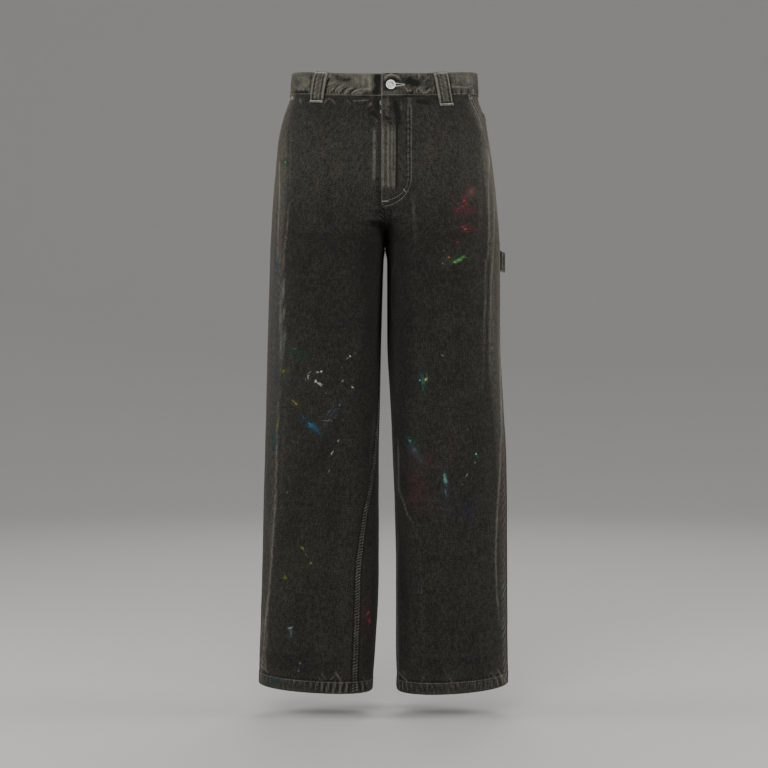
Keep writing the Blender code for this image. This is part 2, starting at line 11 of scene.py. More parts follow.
import bpy
import numpy as np
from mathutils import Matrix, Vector

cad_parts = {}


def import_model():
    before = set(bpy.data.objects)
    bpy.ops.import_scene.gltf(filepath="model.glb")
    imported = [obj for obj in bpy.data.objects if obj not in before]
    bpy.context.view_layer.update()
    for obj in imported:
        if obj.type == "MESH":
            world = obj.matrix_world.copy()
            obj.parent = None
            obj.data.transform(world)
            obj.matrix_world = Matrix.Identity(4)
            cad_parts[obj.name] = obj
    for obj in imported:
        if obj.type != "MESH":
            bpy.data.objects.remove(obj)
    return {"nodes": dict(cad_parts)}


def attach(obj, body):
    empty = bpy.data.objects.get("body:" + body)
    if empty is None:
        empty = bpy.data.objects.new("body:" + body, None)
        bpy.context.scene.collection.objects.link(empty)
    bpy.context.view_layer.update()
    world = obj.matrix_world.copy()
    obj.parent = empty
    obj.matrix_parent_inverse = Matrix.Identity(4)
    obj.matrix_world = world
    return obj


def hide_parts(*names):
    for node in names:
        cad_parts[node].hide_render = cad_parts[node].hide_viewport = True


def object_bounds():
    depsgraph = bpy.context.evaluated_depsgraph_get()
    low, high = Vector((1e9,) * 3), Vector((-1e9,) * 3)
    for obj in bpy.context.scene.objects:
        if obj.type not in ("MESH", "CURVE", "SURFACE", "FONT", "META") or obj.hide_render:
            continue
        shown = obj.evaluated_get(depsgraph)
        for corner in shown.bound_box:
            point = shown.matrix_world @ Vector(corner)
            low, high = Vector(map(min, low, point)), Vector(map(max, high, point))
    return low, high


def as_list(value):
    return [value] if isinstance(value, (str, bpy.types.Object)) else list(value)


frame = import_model()
cad_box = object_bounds()
RIGHT, LEFT = -1, 1
NAMES = {RIGHT: "right", LEFT: "left"}
print("frame:", len(frame["nodes"]), "sewn pieces and fittings")

# %% [markdown]
# ## Tables and small helpers
#
# Much of this script is tables: heights of the cut, creases, scuffs, stains and flecks of paint. Each
# is written as lines of words, and `table` turns every line into a dictionary. A second file could
# hold them, but a script that stands alone is easier to pass on.

# %% Tables and helpers
WORDS = {"right": RIGHT, "left": LEFT, "whole": None}


def read(word):
    """A number, a pair of numbers, a side, or the word itself."""
    if "," in word:
        return tuple(float(part) for part in word.split(","))
    try:
        return float(word)
    except ValueError:
        return WORDS.get(word, word)


def table(columns, text):
    """A dictionary for each line. A line that ends in a colon starts each of the rows below it."""
    *names, last = columns.split()
    rows, head = [], []
    for written in text.strip().splitlines():
        words = [read(word) for word in written.rstrip(":").split()]
        if written.endswith(":"):
            head = words
            continue
        words = head + words
        one = dict(zip(names, words))
        rest = words[len(names):]
        one[last.strip("*")] = tuple(rest) if last[0] == "*" else rest[0]
        rows.append(one)
    return rows


def rows_of(rows, panel, side):
    return [one for one in rows if (one["panel"], one["side"]) == (panel, side)]


def grid(text):
    """Rows and columns of numbers."""
    return np.array([[float(word) for word in written.split()] for written in text.strip().splitlines()])


def ease(value):
    """0 below 0, 1 above 1, and a soft step between."""
    t = np.clip(value, 0, 1)
    return t * t * (3 - 2 * t)


def after(value, start, soft):
    """0 up to start, and 1 from a soft step beyond it."""
    return ease((value - start) / soft)


def before(value, start, soft):
    """1 up to start, and 0 from a soft step beyond it."""
    return 1 - after(value, start, soft)


def unit(ways):
    """The same directions, each with a length of 1."""
    return ways / np.linalg.norm(ways, axis=-1, keepdims=True)


def travel(points):
    """How far along its own line each point lies."""
    steps = np.linalg.norm(np.diff(points, axis=-2), axis=-1)
    return np.concatenate([np.zeros_like(steps[..., :1]), np.cumsum(steps, -1)], -1)


def add_object(name, data):
    made = bpy.data.objects.new(name, data)
    bpy.context.scene.collection.objects.link(made)
    return made


def add_mesh(name, points, faces):
    mesh = bpy.data.meshes.new(name)
    mesh.from_pydata(np.asarray(points).tolist(), [], faces)
    return mesh


def quads(index):
    """The faces of a grid of points."""
    return np.stack([index[:-1, :-1], index[:-1, 1:], index[1:, 1:], index[1:, :-1]], -1).reshape(-1, 4)


def ring_quads(index):
    """The faces of a grid whose last column meets its first."""
    return quads(np.concatenate([index, index[:, :1]], 1))


print("helpers ready")

# %% [markdown]
# ## The form of the cloth
#
# A pattern cutter thinks in girths at set heights. So does this cell: a row of the table is one
# height (`level`, metres down from the waistband's top), with how far the cloth reaches out and in,
# its half depth, its lean to the back, and where the side seam and the inseam run round the leg.
# Such a table could also drive a lofted surface from curve objects. A formula is used because every
# later step, such as a stitch or a paint fleck, has to ask where the cloth is at any spot.

# %% The sections
LENGTH, BAND, CROTCH = 1.0705, 0.040, 0.3006
HEM = 0.022
HEM_TOP = LENGTH - HEM
TOP_HEIGHT = 0.020
FRONT_DIP, SIDE_DROP, BACK_RISE = 0.0182, 0.0023, 0.014
HEM_TILT, HEM_DIP = 0.006, (0.0030, 0.0048)
SQUARENESS, RISE_POWER = 2.3, 7.0
CLEFT_FILL, CLEFT_REACH = 0.007, 0.020
SECTION_COLUMNS = ("level", "out_right", "out_left", "gap_right", "gap_left", "depth", "lean",
                   "outseam_right", "outseam_left", "inseam_right", "inseam_left")
SECTIONS = grid("""
     0 .1612  .161     0     0 .106     0   -7   3   180   180
   .04 .1655  .162     0     0  .11     0   -6   5   180   180
   .08  .178 .1745     0     0 .117  .002 -2.5 9.5   180   180
  .131  .187 .1835     0     0 .125  .006    2  14   180   180
  .185  .192 .1905     0     0  .13   .01    1  10   180   180
  .255  .197 .1975     0     0 .131  .011    0   7   180   180
 .3006 .1995 .2005     0     0 .127   .01   -1   7   180   180
  .325 .2005  .201 .0032 .0046 .123  .009   -2   7 178.5 181.5
  .465 .2045  .201 .0068 .0042 .108  .003   -8   9   172   187
   .57  .207 .2055 .0085  .009 .097     0  -16  12   164   190
  .675 .2095 .2115 .0108  .014 .087 -.001  -28  15   152   194
   .78 .2125  .213 .0105 .0178 .078  .001  -42  15   132   196
  .885  .215 .2135 .0108 .0192 .071  .005  -48  14   124   196
   .99 .2185 .2145  .016 .0192 .065  .009  -48  13   125   195
1.0705 .2205  .215  .022 .0208  .06  .011  -47  12   127   194
""")


def smooth(levels, values, at):
    """A smooth curve through the rows of a table, with no overshoot."""
    step = np.diff(levels)
    slope = np.diff(values) / step
    total = slope[1:] + slope[:-1]
    same_way = slope[1:] * slope[:-1] > 0
    middle = np.where(same_way, 2 * slope[1:] * slope[:-1] / np.where(same_way, total, 1), 0)
    tangent = np.concatenate([slope[:1], middle, slope[-1:]])
    at = np.clip(at, levels[0], levels[-1])
    i = np.clip(np.searchsorted(levels, at, side="right") - 1, 0, len(step) - 1)
    t = (at - levels[i]) / step[i]
    return (values[i] * (1 + 2 * t) * (1 - t) ** 2 + values[i + 1] * t * t * (3 - 2 * t)
            + step[i] * (tangent[i] * t * (1 - t) ** 2 - tangent[i + 1] * t * t * (1 - t)))


def column(name, at):
    return smooth(SECTIONS[:, 0], SECTIONS[:, SECTION_COLUMNS.index(name)], np.asarray(at, float))


def sided(name, side, at):
    return np.where(np.asarray(side) == LEFT, column(name + "_left", at), column(name + "_right", at))


def rise(level):
    """The rise seam: its reach, as a part of the depth, and how far the half section has closed."""
    down = np.clip((np.asarray(level, float) - BAND) / (CROTCH - BAND), 0, 1)
    reach = np.sqrt(1 - down ** RISE_POWER)
    return reach, (1 - reach ** SQUARENESS) ** (1 / SQUARENESS)


def section(side, level):
    out = sided("out", side, level)
    half = (out - sided("gap", side, level)) / (1 + rise(level)[1])
    return half, out - half


def middle_angle(level):
    return np.degrees(np.arccos(-rise(level)[1] ** (SQUARENESS / 2)))


def angle_at(side, level, x):
    """The angle in front where the cloth is x from the centre line; x below 0 is past it."""
    half, middle = section(side, level)
    across = np.clip((np.abs(x) - middle) / half, -1, 1)
    angle = np.degrees(np.arccos(np.sign(across) * np.abs(across) ** (SQUARENESS / 2)))
    return np.where(np.asarray(x) < 0, 2 * middle_angle(level) - angle, angle)


def cloth_point(side, level, angle):
    """A spot on the smooth cloth. Angles run round one leg: 0 outside, 90 front, -90 back."""
    side, level, angle = np.broadcast_arrays(side, np.asarray(level, float), np.asarray(angle, float))
    above = level < CROTCH
    limit = np.where(above, middle_angle(level), 1e3)
    past = np.abs(angle) > limit
    angle = np.where(past, np.sign(angle) * (2 * limit - np.abs(angle)), angle)
    half, middle = section(side, level)
    cosine, sine = np.cos(np.radians(angle)), np.sin(np.radians(angle))
    across = np.sign(cosine) * np.abs(cosine) ** (2 / SQUARENESS)
    forward = np.sign(sine) * np.abs(sine) ** (2 / SQUARENESS)
    x = middle + half * across
    depth = column("depth", level)
    reach, share = rise(level)
    steep = depth / half * (share / np.maximum(reach, 0.03)) ** (SQUARENESS - 1)
    most = CLEFT_FILL * np.clip(1 - (level / CROTCH) ** 8, 0, 1) + 1e-6
    fill = np.where(above, steep * CLEFT_REACH / (1 + steep * CLEFT_REACH / most), 0)
    near = np.exp(-np.maximum(x, 0) * steep / np.maximum(fill, 1e-6))
    y = column("lean", level) - depth * forward - np.sign(sine) * fill * near
    waist = np.clip(1 - (level / CROTCH) ** 2, 0, 1)
    lift = np.where(forward > 0, -FRONT_DIP, BACK_RISE) * forward ** 2 * waist
    lift = lift - SIDE_DROP * (1 - forward ** 2) * waist
    dip = np.where(side > 0, HEM_DIP[1], HEM_DIP[0]) * np.maximum(forward, 0) ** 2
    tilt = (HEM_TILT * across - dip) * ease((level - 0.80) / (LENGTH - 0.80))
    x = np.where(past, -x, x) + 0.00015
    return np.stack([side * x, y, TOP_HEIGHT - level + lift + tilt], -1)


def cloth_normal(side, level, angle):
    """The way out of the smooth cloth."""
    side, level, angle = np.broadcast_arrays(side, np.asarray(level, float), np.asarray(angle, float))
    small, turn = 0.0006, 0.6
    beside = np.where((level < CROTCH) & (level + small > CROTCH), -1, 1)
    beside = np.where((level >= CROTCH) & (level - small < CROTCH), 1, beside)
    here = cloth_point(side, level, angle)
    round_it = cloth_point(side, level, angle + turn) - cloth_point(side, level, angle - turn)
    down = cloth_point(side, level + beside * small, angle) - here
    normal = unit(np.cross(round_it, down * beside[..., None]))
    inside = np.stack([side * section(side, level)[1], column("lean", level), here[..., 2]], -1)
    outward = np.sum(normal * (here - inside), -1, keepdims=True)
    return normal * np.where(outward < 0, -1, 1)


waist = cloth_point(LEFT, np.zeros(2), [0.0, 90.0])
print("half waist", round(float(waist[0, 0]), 3), "m wide; hem", round(float(TOP_HEIGHT - LENGTH), 3))

# %% [markdown]
# ## Uneven, but the same every time
#
# Real cloth is never regular. `ripple` is smooth noise: a lattice of random values, blended between
# its points. A fixed seed makes the same jeans on every run.

# %% Noise
LATTICE_SIZE = 64
LATTICE = np.random.default_rng(7).uniform(-1, 1, (LATTICE_SIZE, LATTICE_SIZE, 4))


def ripple(u, v, size, which=0):
    """Smooth noise from -1 to 1; u and v are metres and size is the width of one bump."""
    u, v = np.asarray(u, float) / size, np.asarray(v, float) / size
    iu, iv = np.floor(u).astype(int), np.floor(v).astype(int)
    fu, fv = ease(u - iu), ease(v - iv)

    def value(a, b):
        return LATTICE[(iu + a) % LATTICE_SIZE, (iv + b) % LATTICE_SIZE, which]

    top = value(0, 0) * (1 - fu) + value(1, 0) * fu
    low = value(0, 1) * (1 - fu) + value(1, 1) * fu
    return top * (1 - fv) + low * fv


def crumple(u, v, size, which=0):
    """Two sizes of ripple together."""
    return 0.65 * ripple(u, v, size, which) + 0.35 * ripple(v + 0.31, u, size * 0.45, (which + 1) % 4)


def crests(u, v, size, which=0):
    """Sharp, uneven crest lines with flat hollows between, from about -0.4 to 0.7."""
    bent = u + ripple(u, v, size * 3, (which + 2) % 4) * size * 1.2
    folded = 1 - np.abs(ripple(bent, v, size, which)) * 2.2
    strength = 0.75 + 0.45 * ripple(u, v, size * 2.7, (which + 1) % 4)
    return (np.clip(folded, 0, 1) ** 1.6 - 0.34) * strength


print("noise lattice", LATTICE.shape)

# %% [markdown]
# ## A piece of cloth as a grid
#
# Every piece starts as rows down its length and columns across it. Columns are counted in metres
# from the piece's two edges, so that a seam or a line of stitches keeps its true width. They stand
# close at the edges, where the seams are, and further apart between. A subdivision surface would
# spend as many points on the plain middle as on the seams, so the grid is laid out directly.

# %% Grids
CLOTH, HEM_CLOTH = 0.0021, 0.0040
ROW, EDGE_STEP = 0.0016, 0.0016
NEAR = np.arange(17) * EDGE_STEP
NEAR_FLY, NEAR_SIDE = np.arange(34) * EDGE_STEP, np.arange(44) * 0.0017


class Cloth:
    """Places on the form, and what each seam, crease, rub and painted shade does to them."""

    def __init__(self, side, level, angle):
        self.side, self.level, self.angle = side, level, angle
        self.rest, self.normal = cloth_point(side, level, angle), cloth_normal(side, level, angle)
        close = np.where(level < CROTCH, 1 - ease(np.abs(self.rest[..., 0]) / 0.006), 0)
        self.normal[..., 0] *= 1 - close * (np.linalg.norm(self.normal[..., 1:], axis=-1) > 0.3)
        self.normal = unit(self.normal)
        self.from_in = travel(self.rest)
        self.width = self.from_in[:, -1:]
        self.from_out = self.width - self.from_in
        self.out = np.zeros(level.shape)
        self.fade = np.zeros(level.shape)
        self.stain_and_shade = np.zeros((*level.shape, 4))

    def add(self, out=0.0, fade=0.0, where=1.0):
        """Move the face out, and make it lighter or darker, where a seam, a crease, a rub or a painted shade
        is.
        """
        self.out = self.out + out * where
        self.fade = self.fade + fade * where

    def settle(self, lift=0.0):
        """Put the face where the folds, lifts and seams leave it."""
        folds = fold_height(self.side, self.level, self.angle) + lift
        self.rest = self.rest + self.normal * folds[..., None]
        self.point = self.rest + self.normal * self.out[..., None]
        shut = (np.abs(self.point[..., 0]) < 0.0004) & (self.level < CROTCH)
        self.point[..., 0] = np.where(shut, -0.0004 * self.side, self.point[..., 0])
        return self

    def spot(self, level, across, edge="in", out=0.0):
        """Places on the finished face at these levels, so far in from an edge, and the ways out."""
        level, across = np.broadcast_arrays(np.asarray(level, float), np.asarray(across, float))
        rows = np.interp(level.ravel(), self.level[:, 0], np.arange(len(self.level)))
        distance = self.from_in if edge == "in" else self.from_out[:, ::-1]
        grids = np.concatenate([self.point, self.normal], -1)
        grids = grids if edge == "in" else grids[:, ::-1]
        found = []
        for row, want in zip(rows, across.ravel()):
            r = min(int(row), len(distance) - 2)
            pair = []
            for k in (r, r + 1):
                c = int(np.clip(np.searchsorted(distance[k], want) - 1, 0, distance.shape[1] - 2))
                share = (want - distance[k, c]) / (distance[k, c + 1] - distance[k, c])
                pair.append(grids[k, c] * (1 - share) + grids[k, c + 1] * share)
            found.append(pair[0] * (1 - row + r) + pair[1] * (row - r))
        found = np.array(found).reshape(*level.shape, 6)
        ways = unit(found[..., 3:])
        return found[..., :3] + ways * out, ways


def lay_grid(side, levels, inner, outer, near_in=NEAR, near_out=NEAR, middle=46):
    """A grid whose columns keep their distances from its inner and its outer edge."""
    dense = inner[:, None] + (outer - inner)[:, None] * np.linspace(0, 1, 140)
    angles = []
    for f, a in zip(travel(cloth_point(side, levels[:, None], dense)), dense):
        first, last = near_in[-1], f[-1] - near_out[-1]
        wide = np.linspace(first, last, middle + 2)[1:-1]
        angles.append(np.interp(np.concatenate([near_in, wide, f[-1] - near_out[::-1]]), f, a))
    angles = np.array(angles)
    return Cloth(side, np.repeat(levels[:, None], angles.shape[1], 1), angles)


def leg_rows(top):
    """Levels from top to the hem, closer together where the legs part and in the hem."""
    body = np.arange(top, CROTCH - 0.038, ROW)
    parting = CROTCH - 0.0380 * (1 - np.linspace(0, 1, 40)) ** 2
    leg = np.arange(CROTCH + ROW, HEM_TOP - 0.002, ROW)
    in_hem = np.linspace(HEM_TOP - 0.001, LENGTH, 22)
    return np.concatenate([body, parting, leg, in_hem])


print(len(leg_rows(BAND)), "rows down a front")

# %% [markdown]
# ## Folds and creases
#
# The jeans hang nearly straight, so their folds are few, long and shallow, with a bunch of short ones
# under the fly and behind the knees and seat. Each is placed one by one: where its middle is, how long
# and wide it is, how it slants, and how high. The cloth simulator could drape the legs, but it would
# lose the shape of the cut, which is what shows here.

# %% Folds
LEG_RADIUS, CREASE_RUB = 0.105, 22
FOLDS = table("side level angle half_length half_width slant height", """
left:
.72 128 .09 .02 .2 .0022
.92 112 .1 .022 .06 -.0022
.36 122 .06 .02 -.4 .0018
.38 -122 .07 .024 .55 -.003
.63 -88 .055 .026 -.55 -.0028
.86 -100 .08 .024 .25 .0022
right:
.83 84 .05 .024 -.25 .002
.42 118 .07 .022 .45 -.002
.36 -118 .06 .024 -.55 -.0032
.6 -96 .05 .026 .6 -.0026
""")
# A crease lies at a share of the way across its panel, from the rise or inseam to the side seam.
CREASES = table("panel side level share half_length half_width slant height", """
front right:
.066 .12 .02 .005 -.25 -.0014
.248 .05 .005 .012 -1.2 -.0012
.259 .07 .005 .014 -1 .0012
.272 .06 .005 .012 -.8 -.0012
.345 .12 .04 .007 .55 .0012
.52 .6 .06 .012 .12 .0008
.62 .3 .05 .012 .3 -.001
.8 .58 .035 .01 -.35 .001
.95 .62 .05 .01 .22 .0009
1.02 .42 .022 .03 0 -.001
front left:
.243 .06 .0045 .012 1.2 -.0015
.252 .08 .005 .014 1 .0013
.262 .07 .0045 .012 .8 -.0013
.35 .13 .042 .007 .6 -.0013
.49 .42 .05 .012 -.12 .0009
.715 .22 .07 .006 .16 .0013
.9 .24 .08 .011 .02 -.0014
back right:
.31 .42 .045 .01 -.7 .0022
.41 .52 .05 .011 -.5 -.0016
.57 .45 .04 .01 .8 .0018
.66 .6 .045 .011 .5 .0012
.9 .35 .06 .012 -.2 -.0012
back left:
.325 .4 .05 .01 -.7 .002
.44 .48 .045 .01 -.4 -.0014
.585 .5 .045 .01 .7 .0017
.7 .42 .05 .01 -.4 .0014
.98 .6 .05 .012 .2 -.0012
""")


def mound(along, across, one):
    return np.exp(-(along / one["half_length"]) ** 2 - (across / one["half_width"]) ** 2)


def fold_height(side, level, angle):
    """How far the large folds move the cloth out."""
    total = np.zeros(np.broadcast(level, angle).shape)
    for fold in FOLDS:
        along = level - fold["level"]
        across = np.radians(angle - fold["angle"]) * LEG_RADIUS - along * fold["slant"]
        total += fold["height"] * mound(along, across, fold) * (fold["side"] == side)
    return total


def crease(cloth, panel):
    """The small creases of one panel, and the slight crumple that worn cloth has all over."""
    for one in rows_of(CREASES, panel, cloth.side):
        along = cloth.level - one["level"]
        across = cloth.from_in - one["share"] * cloth.width - along * one["slant"]
        height = one["height"] * mound(along, across, one)
        cloth.add(height, CREASE_RUB * height)
    across, along = cloth.from_in + cloth.side * 0.7, cloth.level
    inside = ease(np.minimum(cloth.from_in, cloth.from_out) / 0.010)
    soft, fine = crumple(across, along * 0.45, 0.034, 1), crumple(across, along, 0.012, 2)
    patchy = crumple(across, along, 0.02, 3)
    cloth.add(soft * 0.00050 + fine * 0.00015, soft * 0.012 + patchy * 0.018, inside)


print(len(FOLDS), "folds and", len(CREASES), "creases")

# %% [markdown]
# ## Seams raise the cloth
#
# A flat-felled seam is four layers of denim, so it stands up, and its two rows of stitches sink into
# it. Thread shrinks less than denim does in the wash, so the cloth along a seam gathers into small
# slanted puckers. Rubbing then whitens every high spot. The functions below give these profiles, and
# the same numbers go into the fade values, which colour the cloth later, so wear and relief always
# agree. Beside a felled seam a thin dark line is painted shadow, cast by the raised seam.

# %% Seam profiles
LADDER_PERIOD, GATHER_PERIOD = 0.0050, 0.0085
# Rows of stitches, by their distance from an edge or a seam.
EDGE_ROWS, TOP_HEM_ROWS, FELLED_ROWS = (0.0025, 0.0088), (0.0030, 0.0145), (0.0022, 0.0076)


def strip(distance, start, end, soft=0.0010):
    """1 on a raised strip, 0 beside it."""
    return ease((distance - start + soft) / (2 * soft)) * ease((end + soft - distance) / (2 * soft))


def line(distance, middle=0.0, width=0.0011):
    """1 on a line, such as stitches, and 0 away from it."""
    return np.exp(-((distance - middle) / width) ** 2)


def pucker(along, across, period, slant, which=0):
    """Slanted gathers, uneven in pitch and strength, from -1 to 1."""
    wander = ripple(along, across * 0.3, period * 5, which) * 2.4
    wave = np.sin(2 * np.pi * (along + across * slant) / period + wander)
    return wave * (0.62 + 0.38 * ripple(along, across * 0.4, period * 2.6, (which + 1) % 4))


def both(distance, first, second):
    """Two rows of stitches, each as a line."""
    return line(distance, first) + line(distance, second)


def high(wave):
    return np.clip(wave, 0, 1)


def felled(cloth, distance, width, where=1.0, rub=0.66):
    """A raised seam with ladder puckers, and two rows of stitches sunk in it."""
    along = cloth.level
    raised = strip(distance, -0.01, width)
    rows = both(distance, 0.0022, width - 0.0024)
    ladder = pucker(along, distance, LADDER_PERIOD, 0.35, 1) * raised
    patchy = 0.7 + 0.3 * ripple(along, distance, 0.03, 2)
    cloth.add(0.0009 * raised + 0.00030 * ladder - 0.00025 * rows * raised,
              (raised * 0.07 + high(ladder) * rub - high(-ladder) * 0.56) * patchy, where)
    rows = -0.10 * line(distance, width - 0.0024, 0.0012) - 0.12 * line(distance, 0.0022, 0.0010)
    # The dark line just past the seam's raised edge is painted shadow, cast by the raised seam.
    cloth.add(0, rows - 0.20 * line(distance, width + 0.0012, 0.0012), where)


def gathers(cloth, distance, where=1.0, reach=0.011, amount=0.00055, rub=0.16):
    """Puckers that run out from a seam and die away, with a valley at the seam itself."""
    wave = pucker(cloth.level, distance, GATHER_PERIOD, 0.8, 2) * line(distance, 0, reach)
    cloth.add(wave * amount - 0.0008 * line(distance, 0, 0.0018),
              high(wave) * rub - high(-wave) * rub * 0.8 - 0.30 * line(distance, 0, 0.0012), where)


def outseam(cloth, where=1.0):
    """The side seam: a valley, a roped strip, and the ridge that the pressed allowance leaves."""
    d, along = cloth.from_out, cloth.level
    fading = 1 - 0.75 * after(along, 0.50, 0.25)
    press = line(d, 0.0135 + ripple(along, along * 0, 0.11, 2) * 0.0018, 0.0026)
    press = press * (0.60 + 0.40 * crumple(along, d * 0.2, 0.018, 3))
    rope = pucker(along, d, 0.0135, 0.9, 0) * line(d, 0, 0.0085)
    cloth.add(rope * 0.00045 + press * 0.00080 * fading - 0.0009 * line(d, 0, 0.0020),
              high(rope) * 0.12 - high(-rope) * 0.06 + press * 0.30 * fading, where)
    cloth.add(0, 0.17 * line(d, 0.006, 0.018) * fading - 0.30 * line(d, 0, 0.0012), where)


def hem(cloth):
    """The turned hem: a roped band with a slanting pucker above its line of stitches."""
    up = LENGTH - cloth.level
    across = cloth.from_in
    inside = ease(np.minimum(cloth.from_in, cloth.from_out) / 0.004)
    band = strip(up, -0.01, HEM)
    rope = pucker(across, up, 0.0098, 0.15, 0) + 0.7 * pucker(across, up, 0.0062, -0.2, 2)
    rope = rope * (0.65 + 0.75 * ripple(across, up, 0.021, 1))
    rope = np.clip(rope, -1.4, 1.4) * np.sin(np.pi * np.clip(up / HEM * 0.86 + 0.07, 0, 1)) * inside
    above = pucker(across, up, 0.0072, 0.9, 2) * np.exp(-np.clip(up - HEM, 0, 1) / 0.006) * (up > HEM)
    stitches = line(up, HEM - 0.0020)
    cloth.add(0.0006 * band + 0.00080 * rope - 0.0004 * stitches,
              band * 0.05 + high(rope) * 0.27 - high(-rope) * 0.16 + 0.12 * line(up, 0, 0.0016))
    patchy = 0.20 + 0.25 * crumple(across, up, 0.02, 1)
    cloth.add(above * 0.0007,
              high(above) * patchy - high(-above) * 0.06 - 0.10 * line(up, HEM + 0.0012))
    cloth.out = cloth.out - 0.0016 * (1 - ease(up / 0.0018))


print("seams: felled, gathers, outseam, hem")

# %% [markdown]
# ## Scuffs, pressed lines and painted shadows
#
# Besides its seams this pair has marks of its own: ridges of the roped waistband that have rubbed pale,
# hollows that stayed dark, and long pressed lines down the legs. A few dark rows are painted shadow:
# beside the belt loops and beside the lapped end on the band, beside the fly's lap on the right front,
# and in the crotch below the fly. Each is a bent line with a half width, an amount of rub and a height.
# Its places are as they show from in front, in millimetres aside and down, so `seen` says where each
# point of the cloth would show.

# %% Scuffs and painted shadows
EYE_X, EYE_HEIGHT, EYE_DISTANCE = -0.0017, -0.5218, 3.0
